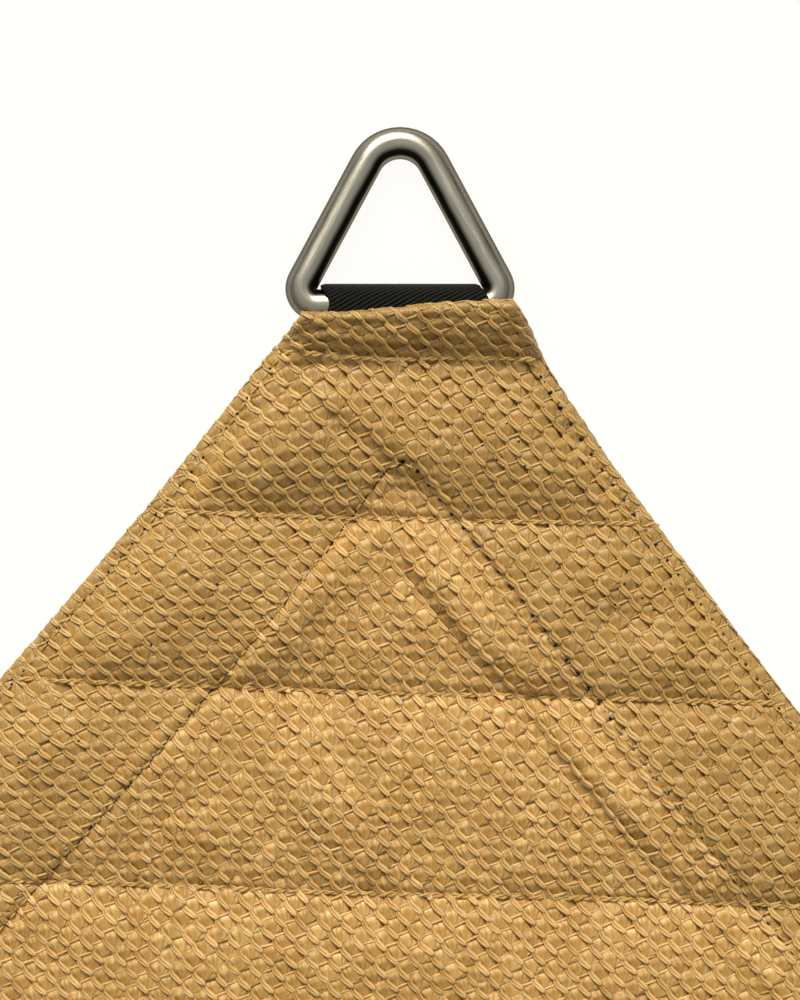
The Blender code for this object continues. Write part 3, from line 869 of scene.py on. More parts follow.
@dataclass(frozen=True)
class BrushedSteel:
    """Stainless steel wire, ground and brushed lengthwise: grey, warm, with a soft streaky gloss.

    Bands of colour round the wire are painted reflections: a dark band on its inner flank, a thin
    dark line near its outer side, and rims of a darker grey on both sides.
    """

    name: str = "brushed_stainless_wire"
    steel: str = "a9a698"
    # painted reflection: the dark band on the wire's inner flank
    scale: str = "2e2b23"
    # painted reflection: a thin dark line near the wire's outer side
    outer_dark_reflection: str = "857f72"
    # painted reflection: the darker grey of both rims
    rim: str = "8f8a7d"
    edge_tint: str = "9a958a"
    roughness: float = 0.31
    grain_across: float = 60.0
    grain_length_mm: float = 9.0
    grain_depth_mm: float = 0.04

    def make(self) -> Material:
        """Builds the material, which reads the wire's UV map: turns round it, and mm along."""
        material, shader = new_material(self.name)
        node = partial(add_node, material.node_tree)
        uv = node("UVMap", uv_map="wire")
        scale = (self.grain_across, 1 / self.grain_length_mm, 1.0)
        stretched = node("Mapping", uv, Scale=scale)
        grain = node("TexNoise", out="Fac", Vector=stretched, Scale=1.0, Detail=3.0)
        wander = node("TexNoise", out="Fac", Vector=uv, Scale=0.12, Detail=1.0)
        place = node("SeparateXYZ", uv)
        ramp = node("ValToRGB", node("MULTIPLY_ADD", wander, 0.03, place), out="Color")
        # Each shade holds from one share of a turn round the wire to another. All but the steel's own band
        # are painted reflections: the rims, a dark line near the outer side and a dark band on the inner
        # flank.
        shades = (
            (0.0, 0.05, self.rim),
            (0.085, 0.12, self.outer_dark_reflection),
            (0.16, 0.32, self.steel),
            (0.365, 0.43, self.scale),
            (0.45, 1.0, self.rim),
        )
        stops = [(spot, linear(code)) for low, high, code in shades for spot in (low, high)]
        set_stops(ramp.node.color_ramp, stops)
        shade = node("MapRange", grain, 0.25, 0.75, 0.86, 1.1)
        colour = node("VectorMath", ramp, Scale=shade, operation="SCALE")
        rough = node("MapRange", grain, 0.2, 0.8, self.roughness - 0.06, self.roughness + 0.1)
        bump = node("Bump", Height=grain, Strength=0.35, Distance=self.grain_depth_mm * MM)
        set_inputs(
            shader,
            Base_Color=colour,
            Roughness=rough,
            Normal=bump,
            Metallic=1.0,
            Specular_Tint=linear(self.edge_tint),
        )
        return material


YARN = Plastic(
    "hdpe_yarn", light="e9c284", dark="ae8341", over_webbing="b0934f", roughness=0.4, painted_light_share=0.9,
    tone_shift=-0.35,
)
FILM = Plastic(
    "hdpe_film_tape", light="e8bf7c", dark="b38947", over_webbing="5c4e24", roughness=0.38, pleats=3.6,
    painted_light_share=0.7, tone_shift=-0.3,
)
THREAD = Plastic("sewing_thread", light="d2ac6a", dark="ab8647", over_webbing="a08549", roughness=0.55)


# ---------------------------------------------------------------- the knit


@dataclass(frozen=True)
class Lattice:
    """Where the knit's loops lie: `course` counts along a chain, `wale` from chain to chain.

    Both rise evenly over the cloth, x to the right and y down from the tip, but the chains
    bend where the hem's second layer starts on the left, and close up on the tip's fold.
    """

    course_by_x: float = 0.1621
    course_by_y: float = 0.1566
    wale_by_x: float = 0.1914
    wale_by_y: float = -0.1512
    hem_bend: float = 0.0385
    hem_bend_soft: float = 2.0
    hem_line: tuple[tuple[float, float], ...] = (
        (-18.75, 11.0), (-16.0, 30.0), (-13.75, 53.0), (-47.0, 94.0), (-90.0, 144.0), (-140.0, 205.0),
    )
    fold_ends_y: float = 11.0
    fold_closeness: float = 1.3
    course_mm: float = 4.46
    wale_mm: float = 4.08

    def counts(self, x: Array, y: Array) -> tuple[Array, Array]:
        """The course and wale at each place.

        Args:
            x: places to the right of the tip's middle.
            y: places down from it.

        Returns:
            The course and the wale there, as counts with fractions.
        """
        closer = np.where(y < self.fold_ends_y, (y - self.fold_ends_y) * (self.fold_closeness - 1), 0.0)
        along = y + closer
        nearest, side = from_line(x, y, self.hem_line)
        beyond = nearest * side
        bend = 0.5 * (beyond + np.sqrt(beyond**2 + self.hem_bend_soft**2))
        course = self.course_by_x * x + self.course_by_y * along
        wale = self.wale_by_x * x + self.wale_by_y * along + self.hem_bend * bend
        return course, wale

    def straight(self, form: CornerForm, plan: Array) -> Array:
        """The course and wale at the sail's own X and Y, as if all chains ran straight."""
        _, across, down = form.from_sail(plan[:, 0], plan[:, 1], SHOWN_CORNER)
        x, y = form.from_corner(across, down)
        course = self.course_by_x * x + self.course_by_y * y
        return np.column_stack((course, self.wale_by_x * x + self.wale_by_y * y))

    def place(self, course: Array, wale: Array) -> tuple[Array, Array]:
        """The place of each course and wale, found by a few Newton steps."""
        step, most, rounds = 0.05, 40, 12
        det = self.course_by_x * self.wale_by_y - self.course_by_y * self.wale_by_x
        x = (self.wale_by_y * course - self.course_by_y * wale) / det
        y = (self.course_by_x * wale - self.wale_by_x * course) / det
        for _ in range(rounds):
            c, w = self.counts(x, y)
            cx, wx = self.counts(x + step, y)
            cy, wy = self.counts(x, y + step)
            a, b = (cx - c) / step, (cy - c) / step
            p, q = (wx - w) / step, (wy - w) / step
            off_c, off_w = course - c, wale - w
            size = a * q - b * p
            x = x + np.clip((q * off_c - b * off_w) / size, -most, most)
            y = y + np.clip((a * off_w - p * off_c) / size, -most, most)
        return x, y


LATTICE = Lattice()


class CornerSurface:
    """The shown corner's surface, on which the knit and the stitches are laid."""

    spacing = 0.75
    side_reach = 236.0
    top = -8.0
    bottom = 222.0
    roll_radius = 1.1
    tip_roll_radius = 2.2
    most_roll = 2.5
    lowest = 0.15
    below_top = 0.55
    fold_ends = (3.0, 8.0)

    def __init__(self, form: CornerForm, relief: Relief) -> None:
        """Works out the heights once, on a fine grid."""
        self.form = form
        across = np.arange(-self.side_reach, self.side_reach, self.spacing)
        down = np.arange(self.top, self.bottom, self.spacing)
        grid_across, grid_down = np.meshgrid(across, down)
        over, _, distance = form.levels(grid_across.ravel(), grid_down.ravel(), relief)
        fine = relief.fine(form, grid_across.ravel(), grid_down.ravel(), distance)
        self.heights = (over + fine - self.below_top).reshape(grid_across.shape)
        self.slopes_down, self.slopes_across = np.gradient(self.heights, self.spacing)

    def sample(self, table: Array, across: Array, down: Array) -> Array:
        """Reads a table of the grid between its points."""
        column = np.clip((across + self.side_reach) / self.spacing, 0, table.shape[1] - 1.001)
        row = np.clip((down - self.top) / self.spacing, 0, table.shape[0] - 1.001)
        i, j = row.astype(int), column.astype(int)
        s, t = row - i, column - j
        upper = table[i, j] * (1 - t) + table[i, j + 1] * t
        lower = table[i + 1, j] * (1 - t) + table[i + 1, j + 1] * t
        return upper * (1 - s) + lower * s

    def drape(self, across: Array, down: Array, lift: Array) -> Array:
        """Lays points on the cloth, which rolls over at the outline.

        Args:
            across: their places across the corner, measured along the cloth.
            down: their depths, measured along the cloth.
            lift: how far they stand off it.

        Returns:
            The points in the sail's X, Y and Z.
        """
        distance, in_x, in_y = self.form.edge_place(across, down)
        at_tip = np.clip(in_y * 1.6 - 0.9, 0, 1) * (1 - smooth(*self.fold_ends, down))
        radius = self.roll_radius + (self.tip_roll_radius - self.roll_radius) * at_tip
        short = np.maximum(radius - distance, 0.0)
        roll = np.minimum(short / radius, self.most_roll)
        foot_across, foot_down = across + in_x * short, down + in_y * short
        height = self.sample(self.heights, foot_across, foot_down)
        slope_x = self.sample(self.slopes_across, foot_across, foot_down)
        slope_y = self.sample(self.slopes_down, foot_across, foot_down)
        size = np.sqrt(slope_x**2 + slope_y**2 + 1)
        normal = np.stack((-slope_x / size, -slope_y / size, 1 / size))
        outward = np.stack((-in_x, -in_y, np.zeros(len(in_x))))
        flat = np.stack((foot_across, foot_down, height))
        spot = flat + outward * radius * np.sin(roll)
        spot[2] -= radius * (1 - np.cos(roll))
        spot += (normal * np.cos(roll) + outward * np.sin(roll)) * lift
        spot[2] = np.maximum(spot[2], self.lowest)
        x, y = self.form.to_sail(SHOWN_CORNER, spot[0], spot[1])
        return np.stack((x, y, spot[2]), axis=1)


class GeometryTree:
    """A geometry tree with a named input for each of its sizes."""

    def __init__(self, name: str, sizes: object, inputs: tuple[str, ...], **finishes: Material) -> None:
        """Makes the tree and its inputs.

        Args:
            name: the tree's name.
            sizes: holds the number for each input.
            inputs: the names of those numbers.
            finishes: the materials, by the names of their inputs.
        """
        self.sizes = sizes
        self.tree = bpy.data.node_groups.new(name, "GeometryNodeTree")
        self.node = partial(add_node, self.tree)
        new_socket = self.tree.interface.new_socket
        for way in ("INPUT", "OUTPUT"):
            new_socket(name="Geometry", in_out=way, socket_type="NodeSocketGeometry")
        kinds = {float: "NodeSocketFloat", int: "NodeSocketInt", Material: "NodeSocketMaterial"}
        self.values = {}
        for label, value in {**{one: getattr(sizes, one) for one in inputs}, **finishes}.items():
            socket = new_socket(name=label, in_out="INPUT", socket_type=kinds[type(value)])
            self.values[socket.identifier] = value
        self.given = self.node("GroupInput").node.outputs

    def dress(self, *parts: tuple[NodeSocket, str]) -> None:
        """Realizes each geometry with the material of the named input, as the tree's output."""
        joined = self.node("JoinGeometry")
        for geometry, material in parts:
            real = self.node("RealizeInstances", geometry)
            dressed = self.node("SetMaterial", real, Material=self.given[material])
            self.tree.links.new(dressed, joined.node.inputs[0])
        self.node("GroupOutput", joined)

    def tube(self, curve: NodeSocket, sides: int, radius: str, **inputs: object) -> NodeSocket:
        """A curve as a round tube, whose radius is the named input's."""
        profile = self.node("CurvePrimitiveCircle", Resolution=sides, Radius=self.given[radius])
        return self.node("CurveToMesh", curve, profile, **inputs)

    def run(self, name: str, source: bpy.types.ID) -> Mesh:
        """Runs the tree on a mesh or curve.

        Args:
            name: the name of the mesh.
            source: the mesh or curve that the tree starts from.

        Returns:
            The plain mesh that it makes, with its instances realized.
        """
        holder = bpy.data.objects.new(f"{name}_source", source)
        bpy.context.scene.collection.objects.link(holder)
        modifier = holder.modifiers.new("nodes", "NODES")
        modifier.node_group = self.tree
        for identifier, value in self.values.items():
            modifier[identifier] = value
        bpy.context.view_layer.update()
        shown = holder.evaluated_get(bpy.context.evaluated_depsgraph_get())
        mesh = bpy.data.meshes.new_from_object(shown)
        mesh.name = name
        holder.modifiers.remove(modifier)
        bpy.data.objects.remove(holder)
        return mesh


@dataclass(frozen=True)
class LoopSizes:
    """The sizes of one loop of the knit and of what lies beside it, in millimetres."""

    link_length: float = 5.3
    link_width: float = 0.7
    link_eye: float = 0.2
    eye_place: float = 0.3
    eye_reach: float = 3.4
    legs_wider: float = 0.12
    link_bend: float = -0.9
    link_steep: float = 0.5
    link_flat: float = 0.21
    link_middle: float = 0.34
    link_points: int = 12
    yarn_radius: float = 0.42
    yarn_sides: int = 5
    yarn_swell: float = 0.15
    head_swell: float = 0.2
    head_start: float = 1.6
    link_rise: float = 0.42
    link_pitch: float = 4.5
    film_length: float = 5.0
    film_width: float = 4.4
    film_skew: float = 1.8
    film_shift: float = 0.3
    film_rise: float = 0.75
    film_floor: float = 0.5
    film_fold: float = 0.25
    ridge_place: float = 0.2
    ridge_width: float = 0.13
    ridge_rise: float = 0.5
    film_thick: float = 0.2
    film_level: float = -0.35
    film_points: tuple[int, int] = (9, 4)
    lap_radius: float = 0.34
    lap_points: int = 4
    lap_sides: int = 4
    lap_level: float = 0.0
    lap_rise: float = 0.12
    lap_tone: float = 0.4
    seed: int = 7
    link_drawn: float = 0.15
    link_dome: float = 0.3
    link_lift: float = 0.2
    legs_from: float = -0.1
    film_start: float = 0.8
    film_crown: float = 0.8
    film_dome: float = 0.6
    fan_side: float = 0.35
    fan_ahead: float = 0.55
    fan_pleats: float = 7.0
    fan_phase: float = 0.9
    # painted light: how much lighter the film is coloured towards its start, and along its ridge as a
    # painted highlight
    painted_light_share: float = 0.25
    ridge_painted_highlight: float = 0.75


@dataclass(frozen=True)
class Spread:
    """How much an item's copies lean, in degrees, and stray, and what tells its draws apart."""

    tilt: float
    stray: float
    salt: int
    lift: float = 0.05
    turn_share: float = 0.7
    plump: float = 0.2


LINK_SPREAD, FILM_SPREAD, LAP_SPREAD = Spread(7.0, 0.09, 1), Spread(7.0, 0.10, 2), Spread(5.0, 0.12, 3)


class KnitTree(GeometryTree):
    """The geometry tree that sets a yarn loop and a film tape on each point of a lattice."""

    inputs = (
        "link_length", "link_width", "yarn_radius", "lap_radius", "film_length", "film_width", "film_rise",
        "seed",
    )

    def __init__(self, sizes: LoopSizes, lattice: Lattice, yarn: Material, film: Material) -> None:
        """Builds the tree.

        Args:
            sizes: the loop's and the film's sizes.
            lattice: the lattice, for its steps along and across the chains.
            yarn: the yarn's finish.
            film: the film's finish.
        """
        super().__init__("knit_loops", sizes, self.inputs, yarn=yarn, film=film)
        self.lattice, s = lattice, sizes
        links = self.scattered(self.link(), s.link_rise, LINK_SPREAD)
        films = self.scattered(self.film(), s.film_level, FILM_SPREAD)
        laps = self.scattered(self.lap(), s.lap_level, LAP_SPREAD)
        self.dress((films, "film"), (laps, "yarn"), (links, "yarn"))

    def link(self) -> NodeSocket:
        """One closed loop of yarn: its legs come steeply from the last loop, then its head lies flatter."""
        s, node, given = self.sizes, self.node, self.given
        ring = node("CurvePrimitiveCircle", Resolution=s.link_points, Radius=1.0)
        x, y, _ = node("SeparateXYZ", node("InputPosition")).node.outputs
        squared = node("MULTIPLY", x, x)
        drawn_back = node("SUBTRACT", node("MULTIPLY_ADD", squared, s.link_drawn, x), s.link_drawn)
        long = node("MULTIPLY", drawn_back, node("MULTIPLY", given["link_length"], 0.5))
        past_bend = node("SUBTRACT", long, s.link_bend)
        climb = node("MULTIPLY", past_bend, s.link_flat)
        fall = node("MULTIPLY", past_bend, -s.link_steep)
        zigzag = node("SUBTRACT", node("MAXIMUM", climb, fall), s.link_middle)
        from_eye = node("MULTIPLY", node("SUBTRACT", x, s.eye_place), s.eye_reach)
        eye = node("SUBTRACT", 1.0, node("MINIMUM", node("MULTIPLY", from_eye, from_eye), 1.0))
        on_legs = node("LESS_THAN", past_bend, s.legs_from)
        wider = node("MULTIPLY_ADD", eye, s.link_eye, node("MULTIPLY_ADD", on_legs, s.legs_wider, 1.0))
        half_width = node("MULTIPLY", node("MULTIPLY", given["link_width"], 0.5), wider)
        wide = node("MULTIPLY_ADD", y, half_width, zigzag)
        plump = node("MULTIPLY_ADD", x, s.head_swell, node("MULTIPLY_ADD", y, s.yarn_swell, 1.0))
        thinner = node("MULTIPLY_ADD", eye, -s.link_eye, plump)
        spot = node("CombineXYZ", long, wide, node("MULTIPLY_ADD", squared, -s.link_dome, s.link_lift))
        # painted light: the loop is coloured lighter towards its head than on its legs
        head = node("POWER", node("MAXIMUM", node("MULTIPLY_ADD", x, 0.5, 0.5), 0.0), s.head_start)
        marked = node("StoreNamedAttribute", ring, Name="head", Value=head)
        sized = node("SetCurveRadius", marked, Radius=thinner)
        shaped = node("SetPosition", sized, Position=spot)
        tube = self.tube(shaped, s.yarn_sides, "yarn_radius", Scale=node("InputRadius"))
        return node("Transform", tube, Rotation=(0.0, -math.radians(s.link_pitch), 0.0))

    def lap(self) -> NodeSocket:
        """The yarn's lap from one chain to the next, across the seam between two films."""
        s, node = self.sizes, self.node
        from_corner = s.film_shift - s.film_skew / 2 - self.lattice.course_mm / 2
        end = (from_corner + s.film_skew, self.lattice.wale_mm, 0.0)
        line = node("CurvePrimitiveLine", Start=(from_corner, 0.0, 0.0), End=end)
        fine = node("ResampleCurve", line, Count=s.lap_points)
        half_turn = node("MULTIPLY", node("SplineParameter", out="Factor"), math.pi)
        rise = node("MULTIPLY", node("SINE", half_turn), s.lap_rise)
        bent = node("SetPosition", fine, Offset=node("CombineXYZ", Z=rise))
        tube = self.tube(bent, s.lap_sides, "lap_radius", Fill_Caps=True)
        return node("StoreNamedAttribute", tube, Name="head", Value=s.lap_tone)

    def film(self) -> NodeSocket:
        """One length of film between two chains: domed, and pleated in a fan from a corner."""
        s, node, given = self.sizes, self.node, self.given
        long_way, wide_way = s.film_points
        grid = {"Vertices_X": long_way, "Vertices_Y": wide_way, "Vertices_Z": 2}
        slab = node("MeshCube", Size=(1.0, 1.0, s.film_thick), **grid)
        x, y, z = node("SeparateXYZ", node("InputPosition")).node.outputs
        long = node("MULTIPLY", x, given["film_length"])
        skew = node("MULTIPLY_ADD", y, s.film_skew, long)
        wide = node("MULTIPLY", y, given["film_width"])
        dome = node("SUBTRACT", 1.0, node("POWER", node("ABSOLUTE", node("MULTIPLY", y, 2.0)), 2.0))
        start = node("POWER", node("ADD", x, 0.5), s.film_start)
        hump = node("MAXIMUM", node("SINE", node("MULTIPLY", start, math.pi)), 0.0)
        fan = node("ARCTAN2", node("ADD", y, s.fan_side), node("SUBTRACT", s.fan_ahead, x))
        pleat = node("COSINE", node("MULTIPLY_ADD", fan, s.fan_pleats, s.fan_phase))
        from_ridge = node("MULTIPLY", node("ADD", x, s.ridge_place), 1 / s.ridge_width)
        ridge = node("EXPONENT", node("MULTIPLY", node("MULTIPLY", from_ridge, from_ridge), -1.0))
        crown = node("MULTIPLY_ADD", hump, s.film_crown - s.film_floor, s.film_floor)
        crown = node("MULTIPLY_ADD", ridge, s.ridge_rise, crown)
        shape = node("MULTIPLY_ADD", pleat, s.film_fold, crown)
        domed = node("MULTIPLY", shape, node("MULTIPLY_ADD", dome, s.film_dome, 1 - s.film_dome))
        rise = node("MULTIPLY", domed, given["film_rise"])
        spot = node("CombineXYZ", skew, wide, node("ADD", rise, z))
        # painted light: the film is coloured lighter towards its start and along its ridge, where light
        # falls on it
        painted_light_to_start = node("MULTIPLY", node("SUBTRACT", 0.5, x), s.painted_light_share)
        head = node("MULTIPLY_ADD", ridge, s.ridge_painted_highlight, painted_light_to_start)
        marked = node("StoreNamedAttribute", slab, Name="pleat", Value=fan)
        marked = node("StoreNamedAttribute", marked, Name="head", Value=head)
        shaped = node("SetPosition", marked, Position=spot)
        middle = (s.film_shift, self.lattice.wale_mm / 2, 0.0)
        return node("Transform", shaped, Translation=middle)

    def scattered(self, item: NodeSocket, level: float, spread: Spread) -> NodeSocket:
        """Sets a copy on each lattice point, each a little off in place, turn and size.

        Args:
            item: the geometry to copy.
            level: its height over the cloth's middle.
            spread: how much the copies vary.

        Returns:
            The copies, each with its own `tone`.
        """
        node, given = self.node, self.given
        seed = node("IntegerMath", given["seed"], spread.salt * 10, operation="ADD")
        lean, stray, plump = math.radians(spread.tilt), spread.stray, spread.plump
        lift, turned = spread.lift, lean * spread.turn_share
        ranges = (
            ((-stray, -stray, level - lift), (stray, stray, level + lift)),
            ((-lean, -lean, -turned), (lean, lean, turned)),
            ((1 - stray, 1 - stray, 1 - plump), (1 + stray, 1 + stray, 1 + plump)),
        )
        seeds = [node("IntegerMath", seed, k, operation="ADD") for k in range(1, 5)]
        kind = "RandomValue"
        offset, turn, size = (
            node(kind, low, high, Seed=own, data_type="FLOAT_VECTOR")
            for (low, high), own in zip(ranges, seeds)
        )
        tone = node(kind, Min_001=0.0, Max_001=1.0, Seed=seeds[3], out=1, data_type="FLOAT")
        moved = node("SetPosition", given["Geometry"], Offset=offset)
        copies = node("InstanceOnPoints", moved, Instance=item, Rotation=turn, Scale=size)
        return node("StoreNamedAttribute", copies, Name="tone", Value=tone, domain="INSTANCE")

    def weave(self, name: str, cells: Array) -> Mesh:
        """Makes the loops of the given lattice cells, flat, in millimetres."""
        source = bpy.data.meshes.new(f"{name}_points")
        spots = cells * (self.lattice.course_mm, self.lattice.wale_mm)
        source.from_pydata(np.column_stack((spots, np.zeros(len(cells)))).tolist(), [], [])
        return self.run(name, source)


@dataclass
class CornerKnit:
    """The yarns of the shown corner, knitted loop by loop and laid on its surface."""

    surface: CornerSurface
    pits: Array
    form: CornerForm = FORM
    lattice: Lattice = LATTICE
    sizes: LoopSizes = field(default_factory=LoopSizes)
    courses: tuple[int, int] = (-40, 80)
    wales: tuple[int, int] = (-70, 50)
    above_tip: float = 6.0
    widest: float = 230.0
    past_edge: float = 3.8
    bottom: float = 196.0
    upper_part: float = 90.0
    middle_part: float = 40.0
    pit_depth: float = 0.7
    pit_reach: float = 0.8
    edge_press: float = 0.35
    press_reach: float = 3.6
    band_share: float = 0.36

    def cells(self) -> tuple[Array, Array, Array]:
        """The lattice cells that lie on the corner, and their places across and down."""
        courses, wales = np.meshgrid(np.arange(*self.courses), np.arange(*self.wales))
        cells = np.column_stack((courses.ravel(), wales.ravel())).astype(float)
        x, y = self.lattice.place(cells[:, 0], cells[:, 1])
        across, down = self.form.to_corner(x, y)
        near = (down > -self.above_tip) & (down < self.bottom) & (np.abs(across) < self.widest)
        cells, across, down = cells[near], across[near], down[near]
        distance = self.form.edge_place(across, down)[0]
        kept = distance > -self.past_edge
        return cells[kept], across[kept], down[kept]

    def build(self, yarn: Material, film: Material) -> list[Object]:
        """Knits the corner in four pieces: its upper part, and its left, middle and right parts below it.
        Knits the corner in pieces that each stay well under 200,000 triangles.
        """
        maker = KnitTree(self.sizes, self.lattice, yarn, film)
        cells, across, down = self.cells()
        upper = down < self.upper_part
        parts = {
            "knit_upper": upper,
            "knit_left": ~upper & (across < -self.middle_part),
            "knit_middle": ~upper & (np.abs(across) <= self.middle_part),
            "knit_right": ~upper & (across > self.middle_part),
        }
        made = []
        for name, chosen in parts.items():
            mesh = maker.weave(name, cells[chosen])
            self.lay(mesh)
            made.append(make_object(name, mesh, None))
        return made

    def lay(self, mesh: Mesh) -> None:
        """Moves a flat piece of knit onto the corner's surface and stores its tint."""
        flat = points_of(mesh)
        course = flat[:, 0] / self.lattice.course_mm
        wale = flat[:, 1] / self.lattice.wale_mm
        x, y = self.lattice.place(course, wale)
        across, down = self.form.to_corner(x, y)
        tree = KDTree(len(self.pits))
        for index, (a, d, _) in enumerate(self.pits):
            tree.insert((a, d, 0.0), index)
        tree.balance()
        found = [tree.find((a, d, 0.0))[1:] for a, d in zip(across, down)]
        *nearest, size = self.pits[[index for index, _ in found]].T
        gaps = np.array([gap for _, gap in found]) / size
        offset = (np.stack((across, down)) - nearest) / size
        distance = self.form.edge_place(across, down)[0]
        pressed = self.edge_press + (1 - self.edge_press) * smooth(0.0, self.press_reach, distance)
        lift = flat[:, 2] * pressed - self.pit_depth * size * bell(gaps, 0.0, self.pit_reach)
        move_points(mesh, self.surface.drape(across, down, lift))
        band = 1 - smooth(-1.5, 1.5, distance - self.form.hem_at(down, np.sign(across)))
        set_attribute(mesh, "band", self.band_share * band)
        set_attribute(mesh, "from_hole", np.column_stack((*offset, np.zeros(len(size)))))


# ---------------------------------------------------------------- the cloth under it


def closed_sheet(
    name: str, plan: Array, tops: Array, bottoms: Array, faces: list, material: Material
) -> Object:
    """Makes a sheet of knit that is closed along its edge.

    Args:
        name: the piece's name.
        plan: the points' X and Y on the sail, for the knit's pattern.
        tops: the points of its upper side.
        bottoms: those of its underside.
        faces: the faces of its upper side.
        material: the knit's finish.

    Returns:
        The sheet, with its `knit` UV map.
    """
    count = len(tops)
    whole = faces + [tuple(i + count for i in reversed(face)) for face in faces]
    uses = {(a, b) for face in faces for a, b in zip(face, face[1:] + face[:1])}
    whole += [(b, a, a + count, b + count) for a, b in uses if (b, a) not in uses]
    item = mesh_from(name, np.vstack((tops, bottoms)), whole, material)
    set_uv(item.data, "knit", np.tile(LATTICE.straight(FORM, plan), (2, 1)))
    return item


